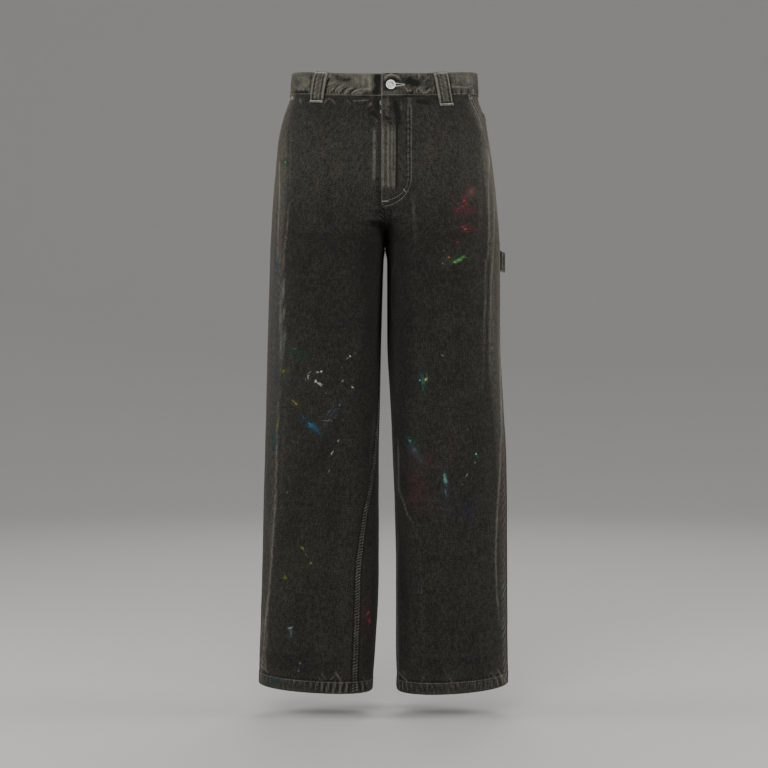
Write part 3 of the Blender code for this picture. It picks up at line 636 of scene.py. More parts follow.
# A scuff's place in this table also picks its unevenness, so new ones go last.
# Painted shadow rows, by their first point: on the waistband -97,5 and -128,2 beside the front right loop,
# 111,5 and 87,10 beside the front left loop, and -15,-2 beside the lap's end; on the fronts -13,44 beside
# the fly's lap, and 2,262 and -26,258 in the crotch. Their rub is negative.
SCUFFS_AND_SHADOWS = table("piece half_width rub height *run", """
waistband:
1 .51 .7  -103,21 -94,17 -86,14
.9 .38 .4  -100,16 -93,12
1 .61 .9  -86,30 -80,24 -72,20
1 .51 .7  -82,36 -77,28 -68,23
1 .68 .9  -70,36 -66,28 -56,24
1 .64 .9  -59,36 -52,30 -41,26
.9 .51 .6  -51,37 -47,31 -42,35
1.2 .47 .6  -40,28 -30,26 -24,29
.9 .43 .4  -96,30 -89,25
1.6 .38 .6  -101,9 -94,2
3.1 .25 .4  -38,2 -38,23
3.1 .34 .4  -27,0 -26,31
2.6 .18 .4  -49,5 -48,19
3.5 .2 .4  -154,10 -138,5
.9 .38 .4  -140,24 -133,17 -129,10
.9 .34 .2  -150,25 -149,30
.9 .34 .2  -143,25 -142,30
4.5 -.34 -.7  -87,3 -73,10 -58,9
5.9 -.36 -.9  -15,-2 -13,19 -16,40
3.5 -.4 -.6  -157,33 -131,32
1 -.44 -.7  -77,34 -72,26 -63,23
1 -.44 -.7  -65,36 -60,31 -51,26
1 -.38 -.6  -91,33 -86,24 -79,18
1.9 -.61 -.2  -97,5 -102,24 -106,38
1.4 -.34 -.1  -128,2 -131,31
1.9 .61 1.1  -2,11 3,5 10,2 19,4 26,10
1.4 -.58 -.7  2,1 10,-2 21,1
2.6 .2 .2  -2,31 9,34 24,31
1 .51 .7  34,24 40,31 47,30
1 .47 .7  53,34 56,27 62,23
1 .47 .7  61,26 67,34 75,31 80,25
1 .4 .6  83,33 85,23
1 .38 .6  67,14 73,8 79,3
1.6 .34 .4  59,0 60,10
5.2 -.4 -.7  38,9 49,17 61,19
1 -.44 -.7  34,20 41,16
1 -.4 -.6  45,37 49,30
1.2 -.38 -.6  70,28 75,24
1.9 -.58 -.2  111,5 114,24 117,40
1.4 -.44 -.1  87,10 93,38
1.4 .4 .6  114,24 124,22 138,24 149,22
2.3 .2 .4  122,3 129,14
2.3 .2 .4  143,2 145,17
1.4 .28 .4  128,26 128,37
1.4 .24 .4  137,28 138,37
1.4 .38 .4  153,26 154,37
1.4 -.3 -.4  133,26 133,37
1.6 -.3 -.4  144,26 145,37
front_right:
1.8 1.2 .6  -163,40 -161,44
1 .38 .4  -101,43 -107,52
1 .49 .4  -99,43 -93,45 -87,52
1 .33 .3  -67,45 -61,52
1 .42 .4  -57,47 -42,47 -28,45
1 .49 .4  -149,43 -146,52
1.6 .22 .3  -30,58 -23,49
2.6 -.12 -.8  -24,66 -11,76
1.2 .18 .4  -18,79 -12,84
4.2 -.11 -.5  -13,44 -14,66
front_left:
4.2 .25 .6  3,44 2,63
3.1 .15 .4  0,66 6,73
4.2 -.18 -1.6  17,45 20,59 23,77 22,91
2.4 .12 .6  29,47 28,65
1.9 -.18 -.9  0,76 10,79
1 .2 .5  -2,86 5,89
2.1 -.12 -.6  9,84 14,93
2.6 -.14 -.4  56,48 77,51
1 .3 .2  43,42 43,59
2.6 .11 .5  48,208 51,246 54,294
4.5 .12 .2  143,45 156,70 171,100
.9 .2 .4  5,237 10,244
.9 .18 .4  10,235 16,242
.9 .14 .4  17,235 22,240
.9 .18 .4  2,246 7,254
.9 .16 .4  8,246 13,253
.9 .12 .4  14,244 19,249
.9 .14 .4  1,255 5,264
.9 .1 .4  7,256 10,263
.8 -.12 -.3  8,235 14,243
.8 -.12 -.3  5,246 10,254
3.5 -.3 -.8  2,262 3,280 4,305
front_right:
3 -.16 -.9  -26,258 -10,262 -1,280 -1,305
1.2 .1 .4  -173,52 -164,101 -165,159 -167,220
1 .38 .7  -167,220 -172,270 -177,330 -177,395 -175,447 -178,503
.9 .62 .7  -184,150 -184,195 -185,235
1.1 .38 .5  -185,230 -187,273 -188,330
1 .38 .5  -183,395 -182,465 -183,524
1 .14 .4  -180,345 -181,395 -179,455 -181,503
1.5 .35 .7  -181,544 -186,577 -189,657 -191,744 -194,797 -202,902 -211,989 -217,1063
2.8 .05 .4  -173,561 -177,622 -180,692 -182,779
2.4 .06 .4  -191,692 -196,779 -199,849
1.2 .1 .4  -17,584 -25,657 -27,692
front_left:
1.4 .29 .7  173,66 182,115 181,177 181,308 177,330 175,390 174,440 173,486
1.2 .29 .5  191,203 191,229 190,292 185,369 185,433
3.5 .05 .3  166,133 167,220 164,290
1.5 .34 .8  200,474 202,545 203,622 201,692 196,762 193,849 196,919 200,961
3.2 .06 .3  182,400 184,470 183,540
2.6 .04 .3  170,420 172,480 170,560
1.1 .14 .5  19,290 18,330 11,365 12,400 17,440
1 .42 .5  22,633 23,657 25,727 31,744 41,771 49,783
.9 .07 .2  15,512 16,599
.9 .07 .2  20,512 20,599
1.4 .35 .3  22,800 21,919 24,1066
back_left:
1.6 .35 .3  22,800 21,919 24,1066
front_left:
2.8 .05 .4  56,823 63,884 66,989
front_right:
2.2 .16 .5  -212,945 -218,1000 -221,1038
1 .24 .4  -205,975 -210,1010 -208,1042
1.2 .34 .5  -223,1028 -212,1038 -203,1047
1 .24 .4  -217,1020 -208,1036
1 .26 .4  -112,1046 -102,1060
1.2 .34 .5  -88,1044 -80,1056 -75,1066
1 .26 .4  -98,1060 -88,1052
.9 .22 .3  -118,1052 -110,1062
back_right:
1 .3 .4  -40,1052 -32,1066
1 .3 .4  -30,1054 -22,1070
front_left:
1.2 .34 .5  22,1044 32,1054 42,1064
1 .26 .4  30,1042 38,1052
1.2 .34 .5  196,1040 204,1052 209,1062
1 .24 .4  186,1044 194,1058
.9 .2 .3  110,1050 118,1062
.9 .2 .3  70,1048 64,1062
""")


def seen(point):
    """How far aside and how far down a place shows to an eye in front, in metres."""
    near = EYE_DISTANCE / (EYE_DISTANCE + point[..., 1])
    down = TOP_HEIGHT - EYE_HEIGHT - (point[..., 2] - EYE_HEIGHT) * near
    return EYE_X + (point[..., 0] - EYE_X) * near, down


def from_run(x, down, run):
    """How far places are from a bent line, and the share of the line at their nearest point."""
    ways = np.diff(run, axis=0)
    lengths = np.linalg.norm(ways, axis=-1)
    best, share = np.full(x.shape, 1e3), np.zeros(x.shape)
    for a, way, length, start in zip(run, ways, lengths, travel(run)):
        t = np.clip(((x - a[0]) * way[0] + (down - a[1]) * way[1]) / length ** 2, 0, 1)
        far = np.hypot(x - a[0] - t * way[0], down - a[1] - t * way[1])
        share = np.where(far < best, (start + t * length) / lengths.sum(), share)
        best = np.minimum(best, far)
    return best, share


def scuffs_and_shadows(name, point, normal):
    """The height and the rub of one piece's scuffs and painted shadows, on the side that faces the front."""
    x, down = seen(point)
    height, rub = np.zeros(x.shape), np.zeros(x.shape)
    for number, one in enumerate(SCUFFS_AND_SHADOWS):
        if one["piece"] != name:
            continue
        far, share = from_run(x, down, np.array(one["run"]) / 1000)
        uneven = 0.85 + 0.30 * ripple(x + number * 0.07, down, 0.020, number % 4)
        uneven = (1 - 0.8 * (2 * share - 1) ** 6) * uneven
        strong = np.exp(-(far * 1000 / one["half_width"]) ** 2) * uneven * (normal[..., 1] < 0.1)
        height, rub = height + one["height"] / 1000 * strong, rub + one["rub"] * strong
    return height, rub


print(len(SCUFFS_AND_SHADOWS), "scuffs_and_shadows")

# %% [markdown]
# ## Where years of wear lighten the cloth, and where shade is painted on it
#
# Before any seam is thought of, wear has a broad pattern: the hips lose their colour first. The sides
# are lighter in a band along the outline as it shows from in front. The insides of the thighs are
# painted darker, as shade between the legs, and a painted shadow runs along each leg's inner edge where
# the legs part. Painting this by hand in vertex paint would do. A formula is easier to change.

# %% Broad wear and painted shade
SIDE_BANDS = grid("""
 .04  .08  .01
  .1  .12 .014
  .2  .14 .023
 .32  .15 .023
 .42  .13 .026
  .5  .09 .028
 .62  .06 .022
  .8 .045 .018
1.09  .04  .01
""")
SIDE_WIDTH = {RIGHT: 1.0, LEFT: 0.80}
BEADS = {RIGHT: 0.6, LEFT: 1.0}
INNER_DARK = {RIGHT: 0.0060, LEFT: 0.0095}
SHADOW = (0.0022, 0.0022, 0.0018)


def soak_or_shade(cloth, colour, weight):
    """Lay a colour, of paint or of painted shadow, over what the cloth has already."""
    weight = np.clip(weight, 0, 1)[..., None]
    old, shown = cloth.stain_and_shade[..., :3], cloth.stain_and_shade[..., 3:] * (1 - weight)
    total = shown + weight
    mixed = (old * shown + np.array(colour) * weight) / np.maximum(total, 1e-6)
    cloth.stain_and_shade = np.concatenate([mixed, total], -1)


def broad_wear_and_shade(cloth, panel):
    level, d = cloth.level, cloth.from_out
    base = 0.037 + 0.055 * line(level, 0.14, 0.10)
    if panel == "front":
        strong, wide = (smooth(SIDE_BANDS[:, 0], SIDE_BANDS[:, k], level) for k in (1, 2))
        wide = wide * SIDE_WIDTH[cloth.side]
        x = np.abs(seen(cloth.rest)[0])
        turn = np.argmax(x, 1)[:, None]
        past = np.arange(x.shape[1]) >= turn
        around = np.take_along_axis(cloth.from_in, turn, 1) - cloth.from_in
        edge = np.where(past, 0, x.max(1, keepdims=True) - x)
        streaks = ripple(edge * 40, level * 0.6, 0.09, 1) + ripple(edge, level * 0.04, 0.0042, 2)
        # The sides are lighter in a band measured in from the outline as it shows from in front.
        sides = strong * before(edge, wide - 0.004, 0.005) * (1 + 0.225 * streaks)
        beads = pucker(level, around, 0.0150, -1.1, 2) * strip(around, -0.004, 0.020, 0.005)
        beads = beads * (0.6 + 0.6 * crumple(level, edge, 0.03, 1)) * after(level, 0.60, 0.10)
        cloth.add(0.0003 * beads, 0.34 * high(beads) - 0.20 * high(-beads), BEADS[cloth.side])
    else:
        sides = 0.10 * line(d, 0, 0.022) * (1 - 0.65 * after(level, 0.45, 0.30))
    base = base + 0.010 * crumple(cloth.from_in, level * 0.10, 0.016, 1)
    base = base + 0.006 * crumple(cloth.from_in, level * 0.2, 0.007, 3)
    # Painted shade: the insides of the thighs, near the rise and the inseam, are darkened where the legs
    # shade each other.
    inner = 0.028 * line(cloth.from_in, 0, 0.03) * after(level, 0.27, 0.06) * before(level, 0.5, 0.3)
    # Painted shadow: a near-black band along each leg's inner edge as it shows from in front, where the legs
    # part.
    aside = cloth.side * seen(cloth.rest)[0]
    rim = line(aside - aside.min(1, keepdims=True), 0, INNER_DARK[cloth.side]) * (cloth.normal[..., 1] < 0.4)
    soak_or_shade(cloth, SHADOW, 0.95 * rim * after(level, 0.255, 0.035) * before(level, 0.42, 0.20))
    knee = (0.012 * line(level, 0.60, 0.12) + 0.013 * after(level, 0.66, 0.20)) * (panel == "front")
    seat = 0.05 * line(level, 0.22, 0.08) * (panel == "back")
    cloth.add(0, base + sides - inner + knee + seat)


print("broad wear: hips and sides lighter, inner thighs darker")

# %% [markdown]
# ## Paint that soaked in, and painted shadows
#
# Thin paint and wiped-off paint have no thickness: they only tint the cloth. Such a stain is painted on
# the panel's own points as a colour with a strength, before the panel is sewn. The rows in the colour
# "shadow" are no paint but painted shadow: dark in the crotch, below the fly and along the fly's lapped
# edge. A row says where its middle shows, its length and width, how far it turns from upright, its
# colour and its strength.

# %% Soaked-in paint and painted shadows
PAINT_AND_SHADOW_COLOURS = {
    "white": (0.46, 0.45, 0.42), "pearl": (0.22, 0.22, 0.20), "grey": (0.085, 0.090, 0.088),
    "blue": (0.008, 0.044, 0.086), "cyan": (0.014, 0.090, 0.135), "slate": (0.030, 0.042, 0.054),
    "yellow": (0.150, 0.150, 0.020), "olive": (0.052, 0.056, 0.014), "orange": (0.36, 0.16, 0.05),
    "green": (0.030, 0.110, 0.035), "lime": (0.150, 0.260, 0.070), "moss": (0.014, 0.042, 0.024),
    "teal": (0.014, 0.056, 0.048), "aqua": (0.120, 0.215, 0.205), "lavender": (0.075, 0.078, 0.098),
    "red": (0.105, 0.022, 0.028), "rose": (0.230, 0.085, 0.090), "wine": (0.075, 0.022, 0.028),
    # "shadow" is no paint: it is the colour of painted shadow.
    "navy": (0.012, 0.013, 0.040), "petrol": (0.014, 0.036, 0.044), "shadow": SHADOW,
}
# Rows whose colour is "shadow" are painted shadow: in the crotch, below the fly and beside the fly's lap.
STAINS_AND_SHADOWS = table("panel side down x length width turn colour strength", """
front left:
.206 .151 .018 .015 0 rose .4
.222 .139 .024 .011 5 red .65
.239 .127 .012 .013 0 red .6
.24 .147 .016 .028 20 wine .6
.214 .119 .01 .01 0 wine .35
.223 .163 .008 .009 0 wine .3
.27 .142 .024 .014 75 red .65
.272 .158 .022 .01 85 wine .5
.294 .127 .012 .012 0 wine .6
.285 .116 .04 .01 -15 wine .16
.323 .128 .03 .012 -62 moss .55
.322 .11 .024 .014 0 grey .2
.537 .066 .036 .016 2 teal .4
.642 .045 .034 .013 45 teal .45
.663 .053 .04 .012 42 lavender .35
.668 .16 .012 .011 0 teal .45
.725 .105 .07 .015 2 slate .35
.722 .058 .075 .036 20 wine .3
.742 .046 .024 .016 25 red .16
.675 .076 .03 .02 0 wine .22
.765 .146 .05 .014 0 navy .5
.885 .062 .03 .012 10 navy .3
.65 .12 .03 .022 0 wine .14
.286 .008 .06 .022 0 shadow .48
.268 .01 .034 .018 20 shadow .34
.175 .19 .09 .01 6 wine .3
.31 .194 .06 .008 0 olive .3
.395 .196 .06 .01 0 wine .35
.72 .206 .2 .014 0 wine .35
front right:
.484 -.16 .026 .012 -80 moss .75
.496 -.147 .024 .01 -78 moss .65
.47 -.18 .04 .016 0 slate .32
.43 -.19 .26 .024 0 slate .22
.522 -.189 .018 .012 0 slate .6
.53 -.171 .026 .008 0 slate .65
.576 -.155 .026 .01 55 olive .6
.519 -.177 .014 .014 0 olive .75
.617 -.126 .04 .015 52 blue .5
.59 -.093 .034 .014 -32 slate .4
.64 -.193 .034 .01 -4 blue .45
.535 -.12 .04 .04 0 grey .1
.852 -.15 .06 .05 30 olive .1
.28 -.004 .05 .012 20 shadow .4
.115 -.0082 .26 .0046 0 shadow .95
.208 -.013 .06 .012 0 shadow .35
.262 -.012 .014 .044 -8 shadow .65
.154 -.174 .014 .012 0 moss .7
.185 -.177 .024 .009 0 olive .3
.208 -.171 .05 .01 0 slate .35
.33 -.188 .04 .007 0 blue .45
.296 -.18 .04 .007 0 wine .5
.98 -.163 .026 .012 10 slate .4
1.061 -.196 .017 .024 0 petrol .75
inseam right:
.95 -.028 .026 .0085 6 red .6
.945 -.032 .07 .022 0 wine .25
back right:
.42 -.12 .05 .018 20 slate .4
.79 -.09 .04 .014 -30 wine .4
back left:
.52 .13 .044 .016 -40 moss .55
.36 .07 .03 .02 0 olive .3
.88 .12 .05 .012 10 blue .35
""")
FACING = {"front": -1, "back": 1, "inseam": -1}    # "inseam": the part of a back that shows in front


def dab_paint_and_shade(cloth, panel):
    """Tint the cloth's points with the soaked-in paint and the painted shadows of one panel."""
    x, down = seen(cloth.rest)
    for one in rows_of(STAINS_AND_SHADOWS, panel, cloth.side):
        turn = math.radians(one["turn"])
        dx, dl = x - one["x"], down - one["down"]
        along = dx * math.sin(turn) + dl * math.cos(turn)
        beside = dx * math.cos(turn) - dl * math.sin(turn)
        far = (2 * along / one["length"]) ** 2 + (2 * beside / one["width"]) ** 2
        patchy = 0.75 + 0.45 * crumple(x, down, 0.006, 0) + 0.35 * crumple(x, down, 0.014, 2)
        shows = ease(0.5 - cloth.normal[..., 1] * FACING[panel] * -2)
        soak_or_shade(cloth, PAINT_AND_SHADOW_COLOURS[one["colour"]], one["strength"] * np.exp(-far) * patchy * shows)


print(len(STAINS_AND_SHADOWS), "soft stains in", len(PAINT_AND_SHADOW_COLOURS), "colours")

# %% [markdown]
# ## From a grid to a sewn piece
#
# Solidify would copy the dense face to the inside and double its weight. The inside hardly shows, so
# `sew` gives each piece a coarser inner face and joins the two round the rim. What the finish needs
# later, the fade with its painted shade and the stain with its painted shadow, is stored on the mesh as
# attributes.

# %% Sewing a piece
pieces = {}
INSIDE_FADE = 0.20


def keep_every(count, step):
    return np.unique([*range(0, count, step), count - 1])


def rims(outer, inner, keep_r, keep_c):
    """Faces that close the gap between a dense outer edge and a coarse inner edge."""
    faces = []
    sides = ((outer[0], inner[0], keep_c, False), (outer[-1], inner[-1], keep_c, True),
             (outer[:, 0], inner[:, 0], keep_r, True), (outer[:, -1], inner[:, -1], keep_r, False))
    for dense, coarse, keep, turned in sides:
        for k in range(len(keep) - 1):
            run = list(dense[keep[k]:keep[k + 1] + 1][::-1]) + [coarse[k], coarse[k + 1]]
            faces.append(run[::-1] if turned else run)
    return faces


def make_mesh(name, points, faces, sharp=50):
    mesh = add_mesh(name, points, faces)
    mesh.shade_smooth()
    mesh.set_sharp_from_angle(angle=math.radians(sharp))
    made = add_object(name + "_worn" * (name in bpy.data.objects), mesh)
    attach(made, "root")
    pieces[name] = made
    return made


def give(piece, name, kind, values):
    """A value at every point of a mesh, for its finish to read."""
    layer = piece.data.attributes.new(name, kind, "POINT")
    field = "color" if kind == "FLOAT_COLOR" else "value"
    layer.data.foreach_set(field, np.asarray(values, np.float32).ravel())


def give_map(piece, flat):
    """A flat map in metres, so that the weave keeps its true size."""
    corners = np.empty(len(piece.data.loops), np.int32)
    piece.data.loops.foreach_get("vertex_index", corners)
    layer = piece.data.uv_layers.new(name="cloth")
    layer.data.foreach_set("uv", np.asarray(flat, np.float32)[corners].ravel())


def sew(name, cloth, thick=CLOTH, step=(8, 6), nodes=None):
    rows, columns = cloth.level.shape
    keep_r, keep_c = keep_every(rows, step[0]), keep_every(columns, step[1])
    back = np.ix_(keep_r, keep_c)
    thick = np.broadcast_to(thick, cloth.level.shape)[back]
    inside = cloth.rest[back] - cloth.normal[back] * thick[..., None]
    outer = np.arange(rows * columns).reshape(rows, columns)
    inner = rows * columns + np.arange(inside.shape[0] * inside.shape[1]).reshape(inside.shape[:2])
    faces = quads(outer).tolist() + quads(inner)[:, ::-1].tolist() + rims(outer, inner, keep_r, keep_c)
    across, down = cloth.point[0, 1] - cloth.point[0, 0], cloth.point[1, 0] - cloth.point[0, 0]
    if np.dot(np.cross(across, down), cloth.normal[0, 0]) < 0:
        faces = [f[::-1] for f in faces]
    piece = make_mesh(name, np.concatenate([cloth.point.reshape(-1, 3), inside.reshape(-1, 3)]), faces)
    stain_and_shade = np.concatenate([cloth.stain_and_shade.reshape(-1, 4), np.zeros((inner.size, 4))])
    give(piece, "fade", "FLOAT", np.concatenate([cloth.fade.ravel(), np.full(inner.size, INSIDE_FADE)]))
    give(piece, "stain_and_shade", "FLOAT_COLOR", stain_and_shade)
    u, v = cloth.from_in - cloth.width / 2, cloth.level
    flat = np.stack([u, v], -1)
    give_map(piece, np.concatenate([flat.reshape(-1, 2), flat[back].reshape(-1, 2)]))
    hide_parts(*(nodes or [name]))
    print(name, len(faces), "faces")


# %% [markdown]
# ## The fronts
#
# Each front is one panel from the waistband to the hem, with a slanted pocket mouth cut from its top
# corner. The wearer's left front laps over the right one and hides the zip. Under the fly the layers
# of its facing show through as rubbed ridges.

# %% The fronts
FLY_EDGE, FLY_LIFT, FLY_BOTTOM, FLY_FLAT = 0.0065, 0.0036, 0.232, 0.262
MOUTH_BOTTOM = 0.131
MOUTH_TOP = {RIGHT: 12.5, LEFT: 24.7}
MOUTH_ROPE = {RIGHT: 1.1, LEFT: 2.0}
TUCK = 0.0392
FLY_ROWS, CURVE_X, CURVE_LEVEL = (0.0385, 0.0437), -0.0045, 0.185
RIDGE_TOP, RIDGE_LOW = 0.085, 0.195
FLY_RIDGES = ((-0.0030, 0.44), (0.0050, 0.52), (0.0118, 0.40), (0.0160, 0.46))


def mouth_angle(side, level):
    """The pocket mouth, from the waistband down to the side seam."""
    bottom = sided("outseam", side, MOUTH_BOTTOM)
    return MOUTH_TOP[side] + (bottom - MOUTH_TOP[side]) * (level - BAND) / (MOUTH_BOTTOM - BAND)


def inner_angles(side, levels, sign):
    """The inner edge of a front (1) or a back (-1): the rise seam, then the inseam."""
    inseam = sided("inseam", side, levels)
    seam = np.where(sign > 0, inseam, 360 - inseam)
    return sign * np.where(levels < CROTCH, middle_angle(levels), seam)


def leg_thickness(level):
    return np.where(level > HEM_TOP, HEM_CLOTH, CLOTH)


def front_grid(side):
    levels = leg_rows(TUCK)
    inner = inner_angles(side, levels, 1)
    if side == LEFT:
        edge = FLY_EDGE * before(levels, FLY_BOTTOM - 0.002, 0.012)
        lapped = levels < FLY_BOTTOM + 0.010
        inner[lapped] = angle_at(side, levels[lapped], -edge[lapped])
    outer = np.where(levels < MOUTH_BOTTOM, mouth_angle(side, levels), sided("outseam", side, levels))
    return lay_grid(side, levels, inner, outer, NEAR_FLY, NEAR_SIDE)


def fly(cloth):
    """The fly of the wearer's left front: its rubbed ridges, its edge, and the two sewn rows."""
    x, level = cloth.from_in - FLY_EDGE, cloth.level
    on = after(level, RIDGE_TOP, 0.012) * before(level, RIDGE_LOW, 0.012)
    for place, rub in FLY_RIDGES:
        broken = 0.65 + 0.35 * crumple(level, x * 0, 0.012, 1)
        wander = ripple(level, level * 0 + place * 9, 0.05, 3) * 0.0007
        ridge = line(x, place + wander, 0.0013) * broken
        cloth.add(0.00045 * ridge, rub * ridge, on)
    groove = line(x, 0.0193, 0.0013)
    cloth.add(-0.0003 * groove, 0.075 * strip(x, -0.007, 0.016, 0.003) - 0.26 * groove, on)
    edge = ease((FLY_BOTTOM + 0.008 - level) / 0.006)
    cloth.add(-0.0008 * line(x, -FLY_EDGE, 0.0010), 0.22 * line(x, -FLY_EDGE, 0.0018), edge)
    straight = before(level, 0.186, 0.004)
    for offset in FLY_ROWS:
        cloth.add(-0.00028 * line(x, offset, 0.0009), 0.05 * line(x, offset + 0.0016, 0.0012), straight)
    ladder = pucker(level, x, 0.0105, 0.1, 1) * strip(x, 0.0360, 0.0412)
    straight = straight * after(level, 0.066, 0.01)
    cloth.add(0.00035 * ladder, 0.06 * high(ladder) - 0.40 * high(-ladder), straight)


def front(side):
    cloth = front_grid(side)
    level = cloth.level
    broad_wear_and_shade(cloth, "front")
    crease(cloth, "front")
    cloth.add(*scuffs_and_shadows("front_" + NAMES[side], cloth.rest, cloth.normal))
    below_mouth = after(level, MOUTH_BOTTOM - 0.004, 0.010)
    outseam(cloth, below_mouth)
    d = cloth.from_out
    at_mouth = 1 - below_mouth
    cloth.add(0.0007 * strip(d, -0.01, 0.0105) - 0.00028 * both(d, *EDGE_ROWS) - 0.0012 * line(d, 0, 0.0009),
              0.42 * line(d, 0.0004, 0.0020) + 0.10 * strip(d, -0.01, 0.010)
              + 0.34 * line(d, 0.0100, 0.0013) - 0.20 * line(d, 0.0060, 0.0018), at_mouth)
    roped = pucker(level, d, 0.0064, 0.5, 1) * strip(d, 0.0005, 0.0110, 0.001) * MOUTH_ROPE[side]
    cloth.add(0.0003 * roped, 0.16 * high(roped) - 0.16 * high(-roped), at_mouth)
    leg = after(level, CROTCH + 0.004, 0.012)
    gathers(cloth, cloth.from_in, leg, reach=0.005, amount=0.0003, rub=0.05)
    dab_paint_and_shade(cloth, "front")
    lift = 0.0
    if side == LEFT:
        fly(cloth)
        x = cloth.from_in - FLY_EDGE * (level < FLY_BOTTOM + 0.010)
        flat = before(x, 0.0025, 0.010)
        lift = FLY_LIFT * flat * (1 - ease((level - 0.245) / (FLY_FLAT - 0.245)))
        below_fly = after(level, FLY_BOTTOM + 0.006, 0.008) * before(level, 0.288, 0.010)
        felled(cloth, cloth.from_in, 0.0085, below_fly, rub=0.02)
    else:
        on = after(level, 0.094, 0.008) * before(level, 0.183, 0.010)
        x = cloth.from_in
        rubbed = strip(x, 0.0155, 0.0205, 0.0012) * (0.7 + 0.3 * crumple(level, level * 0, 0.014, 2))
        cloth.add(0.0004 * rubbed, 0.34 * rubbed, on)
        # Painted shade: a darker strip on this front beside and under the fly's lapped edge.
        cloth.add(0, -0.10 * strip(x, 0.002, 0.0075, 0.0015), after(level, 0.05, 0.02) * (level < 0.21))
        gathers(cloth, cloth.from_in, after(level, FLY_BOTTOM, 0.01) * (1 - leg))
    hem(cloth)
    cloth.settle(lift)
    sew("front_" + NAMES[side], cloth, leg_thickness(level))
    return cloth


fronts = {side: front(side) for side in (RIGHT, LEFT)}

# %% [markdown]
# ## The backs and yokes
#
# The back leg carries the felled inseam on its inner edge, lapped over the front. Above it the yoke
# laps over the back with a felled seam of its own. At the middle of the back the wearer's left side
# laps over the right.

# %% The backs and yokes
YOKE_MIDDLE, YOKE_SIDE = 0.112, 0.078
YOKE_ROWS = (0.0022, 0.0080)


def back_edges(side, levels):
    return inner_angles(side, levels, -1), sided("outseam", side, levels)


def back_grid(side):
    """A back leg, from 1 mm under the yoke seam to the hem."""
    levels = leg_rows(0.0)
    levels = levels[levels > 0.1245]
    cloth = lay_grid(side, levels, *back_edges(side, levels))
    share = cloth.from_in / cloth.width
    top = YOKE_MIDDLE + (YOKE_SIDE - YOKE_MIDDLE) * share[0] - 0.0012
    steps = np.linspace(0, 1, 31)[:-1, None]
    level = np.concatenate([top + (levels[0] - top) * steps, cloth.level])
    inner, outer = back_edges(side, level)
    angle = inner + (outer - inner) * ((cloth.angle[0] - inner[30]) / (outer[30] - inner[30]))
    angle[30:] = cloth.angle
    return Cloth(side, level, angle)


def back(side):
    cloth = back_grid(side)
    level = cloth.level
    broad_wear_and_shade(cloth, "back")
    crease(cloth, "back")
    dab_paint_and_shade(cloth, "back")
    dab_paint_and_shade(cloth, "inseam")
    cloth.add(*scuffs_and_shadows("back_" + NAMES[side], cloth.rest, cloth.normal))
    outseam(cloth)
    leg = after(level, CROTCH + 0.002, 0.010)
    felled(cloth, cloth.from_in, 0.0100, leg)
    rise_seam = before(level, 0.286, 0.012)
    if side == LEFT:
        felled(cloth, cloth.from_in, 0.0100, rise_seam)
    else:
        gathers(cloth, cloth.from_in, rise_seam)
    hem(cloth)
    cloth.settle()
    sew("back_" + NAMES[side], cloth, leg_thickness(level))
    return cloth


def yoke(side):
    levels = np.linspace(TUCK, 0.100, 40)
    cloth = lay_grid(side, levels, *back_edges(side, levels), middle=44)
    share = cloth.from_in[20] / cloth.width[20]
    bottom = YOKE_MIDDLE + (YOKE_SIDE - YOKE_MIDDLE) * share
    level = TUCK + (bottom - TUCK) * np.linspace(0, 1, 48)[:, None]
    inner, outer = back_edges(side, level)
    cloth = Cloth(side, level, inner + (outer - inner) * share)
    broad_wear_and_shade(cloth, "back")
    cloth.add(0, 0.04)
    crease(cloth, "yoke")
    outseam(cloth)
    up = bottom - level
    raised = strip(up, -0.01, 0.0100)
    ladder = pucker(cloth.from_in, up, 0.0075, 0.5, 1) * raised
    cloth.add(0.0012 * raised + 0.0003 * ladder - 0.0003 * both(up, *YOKE_ROWS),
              0.08 * raised + 0.22 * high(ladder) - 0.10 * high(-ladder) + 0.20 * line(up, 0, 0.0014))
    if side == LEFT:
        felled(cloth, cloth.from_in, 0.0100)
    cloth.settle()
    sew("yoke_" + NAMES[side], cloth)
    return cloth


backs = {side: back(side) for side in (RIGHT, LEFT)}
yokes = {side: yoke(side) for side in (RIGHT, LEFT)}

# %% [markdown]
# ## The pocket facings
#
# Behind each slanted mouth a facing closes the pocket. It lies a little deeper than the front, runs on
# under the mouth's edge, and comes up level with the side seam.

# %% The pocket facings
def facing(side):
    levels = np.arange(TUCK, 0.1355, 0.0016)
    level = np.repeat(levels[:, None], 30, 1)
    mouth = mouth_angle(side, np.minimum(level, MOUTH_BOTTOM))
    outer = sided("outseam", side, level)
    under = np.linspace(mouth[:, 0] + 4.0, np.maximum(mouth[:, 0], outer[:, 0] + 1.2), 8, axis=1)
    shown = np.linspace(under[:, -1], outer[:, 0], 23, axis=1)[:, 1:]
    cloth = Cloth(side, level, np.concatenate([under, shown], 1))
    depth = -0.0026 * (1 - ease((mouth - cloth.angle) / np.maximum(mouth - outer, 4.5)))
    broad_wear_and_shade(cloth, "front")
    inside = ease(cloth.from_out / 0.004)
    cloth.add(crumple(cloth.from_in, level, 0.018, 1) * 0.0003, 0, inside)
    cloth.add(-0.0009 * line(cloth.from_out, 0, 0.0020), 0.10)
    cloth.settle(depth)
    sew("pocket_facing_" + NAMES[side], cloth, 0.0016, (6, 5))


for side in (RIGHT, LEFT):
    facing(side)

# %% [markdown]
# ## The back pockets and the hammer loop
#
# A back pocket is a patch: five sides, its edges turned under, sewn down with two rows, with a double
# hem across its top. It is cut here from the back leg's own form, so it lies close against it. The
# hammer loop is a strap that starts in the side seam and ends at the pocket, standing off the leg.

